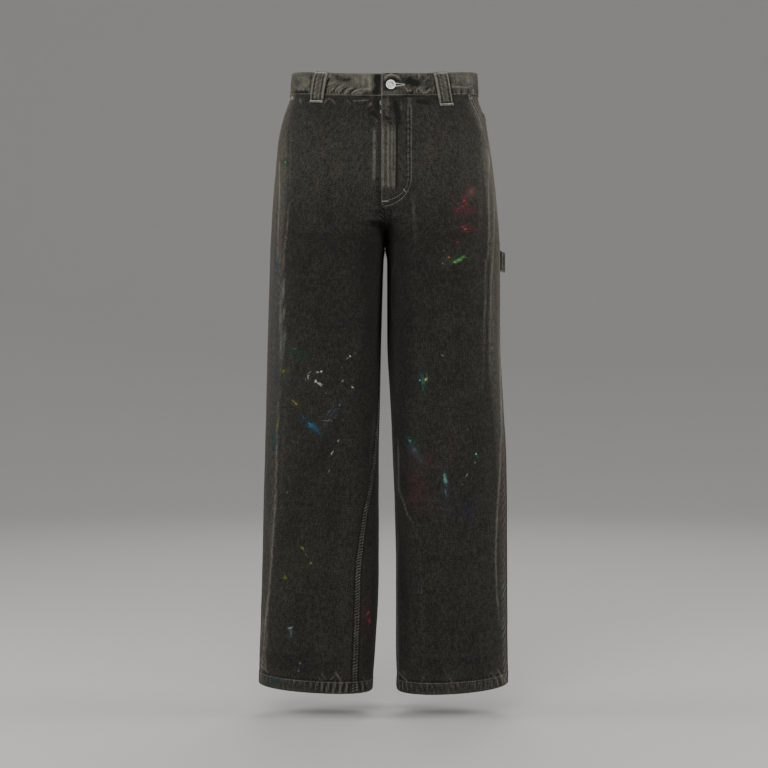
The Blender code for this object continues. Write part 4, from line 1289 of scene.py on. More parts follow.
# %% Back pockets and hammer loop
POCKET_TOP, POCKET_LOW, POCKET_POINT = 0.1285, 0.2875, 0.0065
POCKET_IN, POCKET_OUT = (0.200, 0.235), (0.782, 0.757)
HAMMER = grid("""
  0   6.5 .328 .0006
.07     4 .328 .0006
 .2     0 .329 .0074
.42    -9 .327 .0088
.64   -20  .32  .008
.82   -31 .309 .0062
.93 -37.5   .3 .0028
  1   -42 .295 .0028
""")
HAMMER_WIDTH, STRAP_THICK, STRAP_ROWS = 0.035, 0.0022, (0.0022, 0.0084)


def edge_roll(distance, amount=0.0009):
    """How far a folded edge rolls back from the face."""
    return -amount * (1 - ease(distance / 0.0016))


def back_pocket(side):
    rows, columns = 90, 78
    down = np.linspace(0, 1, rows)[:, None]
    across = np.linspace(0, 1, columns)[None]
    share_in = POCKET_IN[0] + (POCKET_IN[1] - POCKET_IN[0]) * down
    share_out = POCKET_OUT[0] + (POCKET_OUT[1] - POCKET_OUT[0]) * down
    share = share_in + (share_out - share_in) * across
    low = POCKET_LOW + POCKET_POINT * (1 - 2 * np.abs(across - 0.5))
    level = POCKET_TOP + (low - POCKET_TOP) * down
    inner, outer = back_edges(side, level)
    cloth = Cloth(side, level, inner + (outer - inner) * share)
    from_top, from_low = level - POCKET_TOP, low - level
    edge = np.minimum(np.minimum(cloth.from_in, cloth.from_out), from_low)
    broad_wear_and_shade(cloth, "back")
    worn = 0.07 * line(from_top, 0.06, 0.035) + 0.12 * line(from_low, 0.01, 0.014)
    cloth.add(crumple(cloth.from_in, level, 0.03, 2) * 0.0007 * ease(edge / 0.012), worn)
    gather = pucker(np.where(edge == from_low, cloth.from_in, level), edge, 0.0080, 0.8, 1)
    cloth.add(gather * 0.00035 * line(edge, 0.004, 0.005) - 0.0003 * both(edge, *EDGE_ROWS),
              0.22 * high(gather) * line(edge, 0.004, 0.006) + 0.30 * line(edge, 0.0006, 0.0016))
    band = strip(from_top, -0.01, 0.016)
    cloth.add(0.0007 * band - 0.0003 * both(from_top, *TOP_HEM_ROWS),
              0.06 * band + 0.34 * line(from_top, 0, 0.0018))
    cloth.add(edge_roll(np.minimum(edge, from_top)))
    cloth.settle(0.0026)
    sew("back_pocket_" + NAMES[side], cloth, 0.0018, (6, 6))
    return cloth


def hammer_loop():
    along = np.linspace(0, 1, 96)
    angle, level, out = (smooth(HAMMER[:, 0], HAMMER[:, i], along)[:, None] for i in (1, 2, 3))
    across = np.linspace(-0.5, 0.5, 28)[None] * HAMMER_WIDTH
    cloth = Cloth(LEFT, level + across, angle + across * 0)
    length = travel(cloth.rest[:, 14])[:, None]
    edge = HAMMER_WIDTH / 2 - np.abs(across) + length * 0
    gather = pucker(length, edge, 0.0075, 0.8, 2) * line(edge, 0.003, 0.006)
    cloth.add(0.0004 * gather - 0.0003 * both(edge, *STRAP_ROWS) + edge_roll(edge),
              0.13 + 0.20 * high(gather) + 0.32 * line(edge, 0.0004, 0.0016))
    ends = np.minimum(length, length[-1] - length)
    cloth.add(0.0006 * strip(ends, 0.002, 0.010) + crumple(length, across, 0.02, 3) * 0.0005,
              0.10 * strip(ends, 0.002, 0.010))
    cloth.across = across
    cloth.settle(out + STRAP_THICK)
    sew("hammer_loop", cloth, STRAP_THICK, (5, 5))
    return cloth


back_pockets = {side: back_pocket(side) for side in (RIGHT, LEFT)}
hammer = hammer_loop()

# %% [markdown]
# ## The waistband
#
# The band is one doubled strip. Its left end laps over the right and has the buttonhole. Years of
# washing have roped it: the band has twisted a little between its two seams, which leaves slanting
# ridges, and these have rubbed nearly white. Its grid is a closed ring, round the strip's section.

# %% The waistband
BAND_OUT, BAND_CLOTH = 0.0008, 0.0024
LAP_END, UNDER_END, LAP_LIFT = -0.0065, 0.034, 0.0028
LAP_FLAT_FROM, LAP_FLAT_TO = 0.038, 0.068
BUTTON_X, BUTTON_LEVEL = 0.0096, 0.0205
EYE_RADIUS, SLOT_END, SLOT_HALF = 0.0034, 0.0330, 0.0031
BAND_MIDDLE, FACE_ROWS, STATION = 0.02, 38, 0.0015
BAND_INSIDE_FADE = 0.30


def band_stations():
    """The band's stations: side, x where it stands upright in front, and angle at its middle."""
    corner = {side: float(angle_at(side, BAND_MIDDLE, LAP_FLAT_TO)) for side in (RIGHT, LEFT)}
    front, hips = {}, {}
    ends = {LEFT: LAP_END, RIGHT: -UNDER_END}
    for side in (LEFT, RIGHT):
        across = np.arange(ends[side], LAP_FLAT_TO, STATION)
        front[side] = [(side, x, float(angle_at(side, BAND_MIDDLE, x))) for x in across]
        dense = np.linspace(corner[side], -90, 700)
        far = travel(cloth_point(side, BAND_MIDDLE, dense))
        even = np.interp(np.arange(0, far[-1], STATION), far, dense)
        hips[side] = [(side, LAP_FLAT_TO, a) for a in even]
    return front[LEFT] + hips[LEFT] + hips[RIGHT][::-1] + front[RIGHT][::-1]


def band_grid(stations, levels):
    """The ends of the band stand upright; round the hips each station keeps one angle."""
    side, x, angle = (np.array(v)[:, None] for v in zip(*stations))
    level = np.repeat(levels[None], len(stations), 0)
    lean = angle_at(side, level, x) - angle_at(side, BAND_MIDDLE, x)
    corner = angle_at(side, BAND_MIDDLE, LAP_FLAT_TO)
    return side + 0 * level.astype(int), level, angle + lean * before(corner, angle, 15.0)


def waistband():
    stations = band_stations()
    face = np.linspace(0.0008, 0.0392, FACE_ROWS)
    under = np.array((0.031, 0.021, 0.011))
    levels = np.concatenate([face, [0.0400, 0.0402, 0.0399], under, [0.0006, 0.0, 0.0002]])
    edge = np.array((0.0005, 0.0013, 0.0020))
    drop = np.concatenate([np.zeros(FACE_ROWS), edge, np.full(3, BAND_CLOTH), edge[::-1]])
    side, level, angle = band_grid(stations, levels)
    point, normal = cloth_point(side, level, angle), cloth_normal(side, level, angle)
    s = travel(point[:, 17])[:, None]
    near_lap = (side == LEFT) & (s < 0.09)
    lap = LAP_LIFT * near_lap * before(s + LAP_END, LAP_FLAT_FROM, LAP_FLAT_TO - LAP_FLAT_FROM)
    end = np.minimum(s, s[-1] - s)
    up = BAND - level
    lower, upper = line(up, 0.011, 0.012), line(level, 0.008, 0.010)
    rope = crests(s + 1.1 * level, level * 0.5 - s * 0.25, 0.0085, 0) * lower
    twist = crests(s - 0.9 * level, level * 0.6 + s * 0.2, 0.0150, 1) * upper
    rumple = crumple(s, level * 1.6, 0.024, 2)
    patches = crumple(s, level * 0.8, 0.05, 3)
    seams = line(up, 0.0016, 0.0009) + 0.6 * line(level, 0.0026, 0.0009)
    front_face = np.concatenate([np.ones(FACE_ROWS), [0.5, 0, 0], np.zeros(3), [0, 0, 0.5]])
    behind = 0.35 + 0.65 * ease(point[..., 1] / 0.04)
    tight = pucker(s, up, 0.0056, 0.4, 3) * line(up, 0.0065, 0.0045)
    high_up, rub = scuffs_and_shadows("waistband", point, normal)
    out = (0.0004 * np.sin(np.pi * level / BAND) + 0.00070 * rope * behind + 0.00055 * twist * behind
           + 0.00055 * rumple + 0.00025 * tight + high_up - 0.00035 * seams) * front_face
    out = out + edge_roll(end, 0.0010)
    fade = (0.28 + 0.62 * rope * behind + 0.40 * twist * behind + 0.20 * patches + 0.18 * tight + rub
            + 0.14 * rumple + 0.30 * line(level, 0, 0.0016) + 0.50 * line(end, 0, 0.0016)
            - 0.12 * line(up, 0.0005, 0.0008))
    by_button = line(s + LAP_END, BUTTON_X, 0.013) * line(level, BUTTON_LEVEL, 0.013)
    out = out - 0.0008 * by_button * front_face
    fade = fade - 0.20 * by_button - 0.08 * ease((point[..., 0] - 0.02) / 0.03) * (point[..., 1] < 0)
    done = point + normal * (BAND_OUT + lap - drop + out)[..., None]
    count, ring = level.shape
    index = np.arange(count * ring).reshape(count, ring)
    faces = ring_quads(index)[:, ::-1].tolist() + [index[0].tolist(), index[-1][::-1].tolist()]
    piece = make_mesh("waistband", done.reshape(-1, 3), faces)
    give(piece, "fade", "FLOAT", np.where(front_face > 0, fade, BAND_INSIDE_FADE).ravel())
    give(piece, "stain_and_shade", "FLOAT_COLOR", np.zeros((level.size, 4)))
    flat = np.stack([s + 0 * level, np.cumsum(np.full(ring, 0.0012)) + 0 * s], -1)
    give_map(piece, flat.reshape(-1, 2))
    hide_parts("waistband")
    cut_buttonhole(piece)
    print("waistband", round(float(s[-1, 0]), 3), "m long,", len(faces), "faces")
    band = {"s": s[:, 0], "level": face, "point": done[:, :FACE_ROWS], "normal": normal[:, :FACE_ROWS]}
    return band


def keyhole_outline():
    """The buttonhole from above: a round eye at the button, and a slot that narrows away from it."""
    opening = math.asin(SLOT_HALF / EYE_RADIUS)
    turns = np.linspace(opening, 2 * math.pi - opening, 21)
    eye = [(BUTTON_X + EYE_RADIUS * math.cos(t), EYE_RADIUS * math.sin(t)) for t in turns]
    return [(SLOT_END, -0.0003), (SLOT_END, 0.0003)] + eye


def cut_buttonhole(piece):
    outline = keyhole_outline()
    rings = []
    for out in (BAND_OUT + LAP_LIFT + 0.003, BAND_OUT + 0.0002):
        for x, up in outline:
            level = BUTTON_LEVEL - up
            angle = angle_at(LEFT, level, x)
            rings.append(cloth_point(LEFT, level, angle) + cloth_normal(LEFT, level, angle) * out)
    count = len(outline)
    faces = [list(range(count)), list(range(2 * count - 1, count - 1, -1))]
    faces += [[i, (i + 1) % count, (i + 1) % count + count, i + count] for i in range(count)]
    cutter = add_object("keyhole", add_mesh("keyhole", rings, faces))
    cut = piece.modifiers.new("keyhole", "BOOLEAN")
    cut.operation = "DIFFERENCE"
    cut.object = cutter
    done = bpy.data.meshes.new_from_object(piece.evaluated_get(bpy.context.evaluated_depsgraph_get()))
    piece.modifiers.clear()
    piece.data = done
    bpy.data.objects.remove(cutter, do_unlink=True)


band = waistband()

# %% [markdown]
# ## The belt loops
#
# Each loop is a folded strip with two rows of stitches down its middle. Its ends are turned under and
# held by bartacks, one at the band's top and one below its seam, and it bows out between them.

# %% The belt loops
LOOP_WIDTH, LOOP_THICK, LOOP_ROW = 0.025, 0.0022, 0.0042
LOOP_TOP_RUN = ((0.0000, 0.0016), (0.0040, 0.0016), (0.0110, 0.0040), (0.0240, 0.0044))
LOOP_LOW_RUN = ((0.0135, 0.0038), (0.0065, 0.0014), (0.0040, 0.0008), (-0.0015, 0.0008))
LOOPS = table("name side top_angle bottom_angle bottom", """
belt_loop_front_right right 51.5 49.3 .0535
belt_loop_front_left left 58 54.2 .0585
belt_loop_back_right right -36 -37 .055
belt_loop_back_left left -33 -34 .055
belt_loop_back_middle left -90 -90 .055
""")


def belt_loop(name, side, top_angle, bottom_angle, bottom):
    level = np.linspace(-0.0008, bottom, 66)[:, None]
    middle = top_angle + (bottom_angle - top_angle) * level / bottom
    one_degree = cloth_point(side, level, middle + 1) - cloth_point(side, level, middle)
    per_degree = np.linalg.norm(one_degree, axis=-1)
    across = np.linspace(-0.5, 0.5, 34)[None] * LOOP_WIDTH
    cloth = Cloth(side, level + 0 * across, middle + across / per_degree)
    edge = LOOP_WIDTH / 2 - np.abs(across)
    ends = np.minimum(level + 0.0008, bottom - level)
    which = len(pieces) * 0.37
    gather = pucker(level + which, across, 0.0080, 0.6, 1) * line(np.abs(across), 0.0040, 0.004)
    bar = strip(bottom - level, 0.0002, 0.0042, 0.0006) + 0.7 * strip(level, 0.0002, 0.0042, 0.0006)
    notch = line(bottom - level, 0.0056, 0.0010)
    cloth.add(0.0007 * line(edge, 0.0028, 0.0022) + 0.0009 * bar - 0.0005 * notch + 0.0003 * gather
              - 0.0003 * line(np.abs(across), LOOP_ROW, 0.0009) + edge_roll(edge) + edge_roll(ends),
              0.27 + 0.46 * line(edge, 0.0015, 0.0020) + 0.40 * bar - 0.30 * notch + 0.26 * high(gather)
              - 0.24 * line(np.abs(across), 0.0076, 0.0018) - 0.10 * line(across, 0, 0.0020)
              + 0.10 * crumple(level + which, across, 0.010, 2))
    run = np.array(LOOP_TOP_RUN + tuple((bottom - up, out) for up, out in LOOP_LOW_RUN))
    cloth.settle(smooth(run[:, 0], run[:, 1], level) + LOOP_THICK)
    cloth.across = across
    sew(name, cloth, LOOP_THICK, (5, 5))
    return cloth


loops = [belt_loop(**one) for one in LOOPS]

# %% [markdown]
# ## Zip and button
#
# The zip is closed and almost hidden: only a sliver of tape and the edge of its teeth show beside the
# fly. The button is a pressed metal cap with a rolled rim and a raised middle, on a shank that goes
# through the buttonhole. It is turned here like any round part, from a profile.

# %% Zip and button
ZIP_TOP, ZIP_LOW, TAPE_IN, TAPE_OUT = 0.0425, 0.209, 0.0098, 0.0020
TEETH_STEP, TEETH_SIZE = 0.0027, (0.0019, 0.0013, 0.0010)
BUTTON_SIDES, CAP_GAP, SHANK_RADIUS = 48, 0.0012, 0.0022
# The button's cap from its back to its face: radius, and height over its seat.
CAP_PROFILE = (
    (0.0022, -0.0004), (0.0072, -0.0004), (0.0079, 0.0001), (0.0082, 0.0007), (0.0081, 0.0014),
    (0.0077, 0.0019), (0.0071, 0.0021), (0.0064, 0.0019), (0.0058, 0.0010), (0.0052, 0.0007),
    (0.0046, 0.0008), (0.0040, 0.0012), (0.0034, 0.0013), (0.0028, 0.0015), (0.0021, 0.0022),
    (0.0011, 0.0026),
)


def boxes(name, places, frames, size):
    """Many small blocks in one mesh, each at a place, turned by its frame's three directions."""
    corners = np.array([(i, j, k) for i in (-1, 1) for j in (-1, 1) for k in (-1, 1)]) * np.array(size) / 2
    points = places[:, None] + np.einsum("cj,njk->nck", corners, frames)
    one = np.array(((0, 1, 3, 2), (4, 6, 7, 5), (0, 4, 5, 1), (2, 3, 7, 6), (0, 2, 6, 4), (1, 5, 7, 3)))
    faces = (one[None] + 8 * np.arange(len(places))[:, None, None]).reshape(-1, 4)
    return make_mesh(name, points.reshape(-1, 3), faces.tolist(), 30)


def zip_strip():
    level = np.linspace(ZIP_TOP, ZIP_LOW, 110)[:, None]
    x = np.linspace(TAPE_IN, TAPE_OUT, 8)[None]
    cloth = Cloth(RIGHT, level + 0 * x, angle_at(RIGHT, level, x))
    cloth.add(0.0001 * crumple(level, x, 0.006, 1), 0.02)
    cloth.settle(0.0012)
    sew("zip_tape", cloth, 0.0009, (6, 3), ["zip"])
    levels = np.arange(ZIP_TOP + 0.004, ZIP_LOW - 0.002, TEETH_STEP)
    shows = strip(levels, 0.048, 0.055, 0.002) + 0.8 * strip(levels, 0.064, 0.071, 0.002)
    angle = angle_at(RIGHT, levels, 0.0036 + 0.0042 * shows)
    out = cloth_normal(RIGHT, levels, angle)
    across = np.tile((1.0, 0.0, 0.0), (len(levels), 1))
    across = unit(across - out * np.sum(across * out, -1, keepdims=True))
    frames = np.stack([across, np.cross(out, across), out], 1)
    teeth = boxes("zip_teeth", cloth_point(RIGHT, levels, angle) + out * 0.0017, frames, TEETH_SIZE)
    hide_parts("zip")
    return teeth


def turned(name, profile, seat, out, base, sides):
    """A round part, turned from a profile of radius and height, with both ends closed."""
    across = unit(np.cross([0, 0, 1], out))
    up = np.cross(out, across)
    turn = np.arange(sides) * math.tau / sides
    ring = across * np.cos(turn)[:, None] + up * np.sin(turn)[:, None]
    points = [seat + out * (base + height) + ring * radius for radius, height in profile]
    points = np.concatenate([*points, [seat + out * (base + profile[-1][1] + 0.0001)]])
    index = np.arange(len(profile) * sides).reshape(len(profile), sides)
    faces = ring_quads(index).tolist()
    top = len(points) - 1
    faces += [[int(index[-1, i]), int(index[-1, (i + 1) % sides]), top] for i in range(sides)]
    faces.append(index[0][::-1].tolist())
    return make_mesh(name, points, faces, 40)


def button():
    angle = angle_at(LEFT, BUTTON_LEVEL, BUTTON_X)
    seat, out = cloth_point(LEFT, BUTTON_LEVEL, angle), cloth_normal(LEFT, BUTTON_LEVEL, angle)
    base = BAND_OUT + LAP_LIFT + CAP_GAP
    shank = ((SHANK_RADIUS, BAND_OUT + 0.0003 - base),)
    piece = turned("button", shank + CAP_PROFILE, seat, out, base, BUTTON_SIDES)
    rows = np.array([radius for radius, _ in shank + CAP_PROFILE])
    grime = 0.75 * line(rows, 0.0052, 0.0012) + 0.35 * line(rows, 0.0028, 0.0008)
    give(piece, "grime", "FLOAT", np.append(np.repeat(grime, BUTTON_SIDES), 0.0))
    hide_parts("button")
    return piece


zip_teeth = zip_strip()
button_piece = button()
print("zip teeth every", TEETH_STEP * 1000, "mm; button", CAP_PROFILE[3][0] * 2000, "mm across")

# %% [markdown]
# ## Stitches
#
# At arm's length the thread shows as fine pale dashes, so it is real geometry: each stitch is a small
# bowed bead whose ends sink into the cloth. Lines of stitches follow a seam by its distance from an
# edge. Thousands of loose objects would slow Blender down, so all stitches of a piece are one mesh.

# %% Stitches
STITCH_PITCH, STITCH_LENGTH, THREAD = 0.0034, 0.0027, 0.00062
BEAD = np.array([(-0.5, 0, -0.35)] + [(a, b, c + 0.35) for a in (-0.26, 0.26)
                for b, c in ((0.5, 0), (0, 0.5), (-0.5, 0), (0, -0.5))] + [(0.5, 0, -0.35)])
BEAD_FACES = ([(0, 1 + (i + 1) % 4, 1 + i) for i in range(4)]
              + [(1 + i, 1 + (i + 1) % 4, 5 + (i + 1) % 4, 5 + i) for i in range(4)]
              + [(9, 5 + i, 5 + (i + 1) % 4) for i in range(4)])
threads = {}
loose = np.random.default_rng(23)


def trace(cloth, field, value, by="row", part=slice(None)):
    """A line on the finished cloth where a field, such as the distance from an edge, has a value."""
    field = np.broadcast_to(field, cloth.level.shape)
    places = np.concatenate([cloth.point, cloth.normal], -1)
    if by == "column":
        field, places = field.T, places.swapaxes(0, 1)
    found = []
    for values, run in zip(field[part], places[part]):
        turn = 1 if values[-1] > values[0] else -1
        col = np.interp(value, values[::turn], np.arange(len(values))[::turn])
        c = min(int(col), len(values) - 2)
        found.append(run[c] * (1 - col + c) + run[c + 1] * (col - c))
    found = np.array(found)
    return found[:, :3], unit(found[:, 3:])


def even_run(run, pitch):
    """Places at an even pitch along a line, with the way along it and the way out."""
    points, ways = run
    far = travel(points)
    at = np.arange(pitch / 2, far[-1], pitch)

    def read_at(values, where):
        return np.stack([np.interp(where, far, values[:, k]) for k in range(3)], -1)

    along = read_at(points, np.minimum(at + 0.0012, far[-1])) - read_at(points, np.maximum(at - 0.0012, 0))
    return read_at(points, at), unit(along), read_at(ways, at)


def lay_beads(piece, place, along, out, length, thick, tone):
    across = unit(np.cross(out, along))
    frames = np.stack([along * length, across * thick, np.cross(along, across) * thick], 1)
    points = place[:, None] + np.einsum("pj,njk->npk", BEAD, frames)
    worn = 0.62 + 0.42 * ripple(place[:, 0] + place[:, 1], place[:, 2], 0.016, 1)
    tones = np.clip(tone * worn * loose.uniform(0.62, 1.2, len(place)), 0.03, 1)
    threads.setdefault(piece, []).append((points, np.repeat(tones[:, None], len(BEAD), 1)))


def stitch(piece, run, tone=0.5, pitch=STITCH_PITCH, length=STITCH_LENGTH, thick=THREAD):
    """A row of stitches along a line."""
    place, along, out = even_run(run, pitch)
    place = place + out * 0.00015 + along * loose.normal(0, 0.00012, (len(place), 1))
    lay_beads(piece, place, along, out, length, thick, tone)


def stitch_rows(piece, cloth, field, distances, tone=0.50, by="row", part=slice(None), **how):
    """Rows of stitches, each where the field has the value of its distance."""
    for distance in distances:
        stitch(piece, trace(cloth, field, distance, by, part), tone, **how)


def bartack(piece, run, width=0.0021, tone=0.9, pitch=0.00055):
    """A bar of close stitches laid across a short line."""
    place, along, out = even_run(run, pitch)
    across = np.cross(out, along)
    lay_beads(piece, place + out * 0.0003, across, out, width, 0.0006, tone)


def rows_between(cloth, low, high_end):
    return (cloth.level[:, 0] > low) & (cloth.level[:, 0] < high_end)


# %% [markdown]
# ## Where the stitches run
#
# Double rows mark the mouths, the fly, the yoke, the inseams and the pockets; the hem and the band
# have one row each. Bartacks, bars of close stitches, lock the ends that get pulled.

# %% Sewing lines
HEM_ROW = HEM_TOP + 0.0020
HEM_THREAD = {"pitch": 0.0036, "length": 0.0031, "thick": 0.0008}
INSEAM_THREAD = {"pitch": 0.0050, "length": 0.0026, "thick": 0.0008}
BAND_ROW = BAND - 0.0019
BAND_THREAD = {"pitch": 0.0036, "length": 0.0030, "thick": 0.0007}


def sew_leg(side):
    name, cloth = "front_" + NAMES[side], fronts[side]
    stitch_rows(name, cloth, cloth.from_out, EDGE_ROWS, 0.95, part=rows_between(cloth, 0.041, 0.129))
    for top, low in ((0.0440, 0.0475), (0.1255, 0.1290)):
        levels = np.linspace(top, low, 5)
        bartack(name, cloth.spot(levels, 0.0050 + 0 * levels, "out"), 0.0060, 0.95)
    stitch_rows(name, cloth, cloth.level, [HEM_ROW], 0.55, "column", **HEM_THREAD)
    name, cloth = "back_" + NAMES[side], backs[side]
    stitch_rows(name, cloth, cloth.level, [HEM_ROW], 0.50, "column", **HEM_THREAD)
    inseam = rows_between(cloth, CROTCH + 0.004, LENGTH - 0.002)
    for distance, tone in zip(FELLED_ROWS, (0.40, 0.55)):
        stitch_rows(name, cloth, cloth.from_in, [distance], tone, part=inseam, **INSEAM_THREAD)
    name, cloth = "yoke_" + NAMES[side], yokes[side]
    stitch_rows(name, cloth, cloth.level[-1] - cloth.level, YOKE_ROWS, by="column")
    if side == LEFT:
        above = rows_between(backs[side], 0.120, 0.285)
        for distance in FELLED_ROWS:
            stitch_rows(name, cloth, cloth.from_in, [distance])
            stitch_rows("back_left", backs[side], backs[side].from_in, [distance], part=above)


def sew_fly():
    """Two rows run down and curve in to the lap's foot; two bartacks hold it."""
    cloth = fronts[LEFT]
    for offset, lower, tone in zip(FLY_ROWS, (0.0030, 0.0070), (0.85, 1.1)):
        turn = np.radians(np.linspace(0, 90, 30))
        down = np.linspace(0.0412, 0.180, 60)
        level = np.concatenate([down, CURVE_LEVEL + (offset + lower) * np.sin(turn)])
        x = np.concatenate([offset + 0 * down, CURVE_X + (offset - CURVE_X) * np.cos(turn)])
        stitch("front_left", cloth.spot(level, x + FLY_EDGE), tone)
    share = np.linspace(0, 1, 6)
    on_curve = cloth.spot(0.2045 + 0.0065 * share, 0.0305 + 0.0050 * share + FLY_EDGE)
    at_foot = cloth.spot(0.2272 + 0 * share, -0.0055 + 0.0110 * share + FLY_EDGE)
    for run in (on_curve, at_foot):
        bartack("front_left", run, 0.0020, 1.0)


def sew_pocket(side):
    name, cloth = "back_pocket_" + NAMES[side], back_pockets[side]
    from_top, from_low = cloth.level - POCKET_TOP, cloth.level[-1] - cloth.level
    for distance in EDGE_ROWS:
        for field in (cloth.from_in, cloth.from_out):
            stitch_rows(name, cloth, field, [distance], part=slice(2, -5))
        stitch_rows(name, cloth, from_low, [distance], by="column", part=slice(5, -5))
    stitch_rows(name, cloth, from_top, TOP_HEM_ROWS, by="column", part=slice(2, -2))
    for field in (cloth.from_in, cloth.from_out):
        bartack(name, trace(cloth, field, 0.0050, part=slice(2, 10)), 0.0060, 0.9)


def sew_strap():
    far_rows = [HAMMER_WIDTH - distance for distance in STRAP_ROWS[::-1]]
    stitch_rows("hammer_loop", hammer, HAMMER_WIDTH / 2 - hammer.across, [*STRAP_ROWS, *far_rows])
    for middle in (3, 92):
        run = hammer.point[middle, 3:-3], hammer.normal[middle, 3:-3]
        bartack("hammer_loop", run, 0.0022, 0.9)


def sew_belt_loop(name, cloth):
    stitch_rows(name, cloth, cloth.across, (-LOOP_ROW, LOOP_ROW), 0.62, part=slice(6, -7))
    for row in (3, -4):
        bartack(name, (cloth.point[row, 3:-3], cloth.normal[row, 3:-3]), 0.0024, 1.0)


def sew_band():
    """One row along the lower seam, one at the lap's end, and the buttonhole's close edging."""
    s, level = band["s"], band["level"]

    def place(where, at):
        row, col = np.interp(where, s, np.arange(len(s))), np.interp(at, level, np.arange(len(level)))
        i, j = np.minimum(row.astype(int), len(s) - 2), np.minimum(col.astype(int), len(level) - 2)
        a, b = (row - i)[:, None], (col - j)[:, None]
        mixed = []
        for known in (band["point"], band["normal"]):
            mixed.append((known[i, j] * (1 - b) + known[i, j + 1] * b) * (1 - a)
                         + (known[i + 1, j] * (1 - b) + known[i + 1, j + 1] * b) * a)
        return tuple(mixed)

    where = np.arange(STATION, s[-1] - STATION, STATION)
    stitch("waistband", place(where, BAND_ROW + 0 * where), 0.80, **BAND_THREAD)
    at = np.linspace(0.003, 0.0370, 30)
    stitch("waistband", place(0.0022 + 0 * at, at), 0.60)
    outline = np.array(keyhole_outline()[1:] + keyhole_outline()[:1])
    outline = np.concatenate([outline, outline[:1]])
    middle = np.array([BUTTON_X, 0.0])
    away = outline - np.where(outline[:, :1] > 0.016, outline * (1, 0), middle)
    away /= np.maximum(np.linalg.norm(away, axis=-1, keepdims=True), 1e-9)
    edging = outline + away * 0.0010
    points, ways = place(edging[:, 0] - LAP_END, BUTTON_LEVEL - edging[:, 1])
    bartack("waistband", (points, ways), 0.0018, 1.3, 0.00048)


for side in (RIGHT, LEFT):
    sew_leg(side)
    sew_pocket(side)
sew_fly()
sew_strap()
sew_band()
for one, cloth in zip(LOOPS, loops):
    sew_belt_loop(one["name"], cloth)

stitch_pieces = {}
for name, parts in threads.items():
    points = np.concatenate([p for p, _ in parts])
    tones = np.concatenate([t for _, t in parts])
    faces = (len(BEAD) * i + np.array(f) for i in range(len(points)) for f in BEAD_FACES)
    made = make_mesh("stitches_" + name, points.reshape(-1, 3), [f.tolist() for f in faces], 180)
    give(made, "tone", "FLOAT", tones.ravel())
    stitch_pieces[name] = made
print(sum(len(p) for parts in threads.values() for p, _ in parts), "stitches")

# %% [markdown]
# ## Paint that dried on the cloth
#
# Thick paint is a skin with a ragged edge. Each fleck here is a small sheet laid just over the cloth,
# cut to shape by noise, thicker at its middle, with its rim sunk into the cloth. A decal would need a
# picture; this way the flecks are real and keep their edge when seen from close by.

# %% Dried paint
FLECK_CELL, PAINT_THIN, PAINT_RISE, RIM_SINK = 0.0005, 0.00010, 0.00028, 0.00012
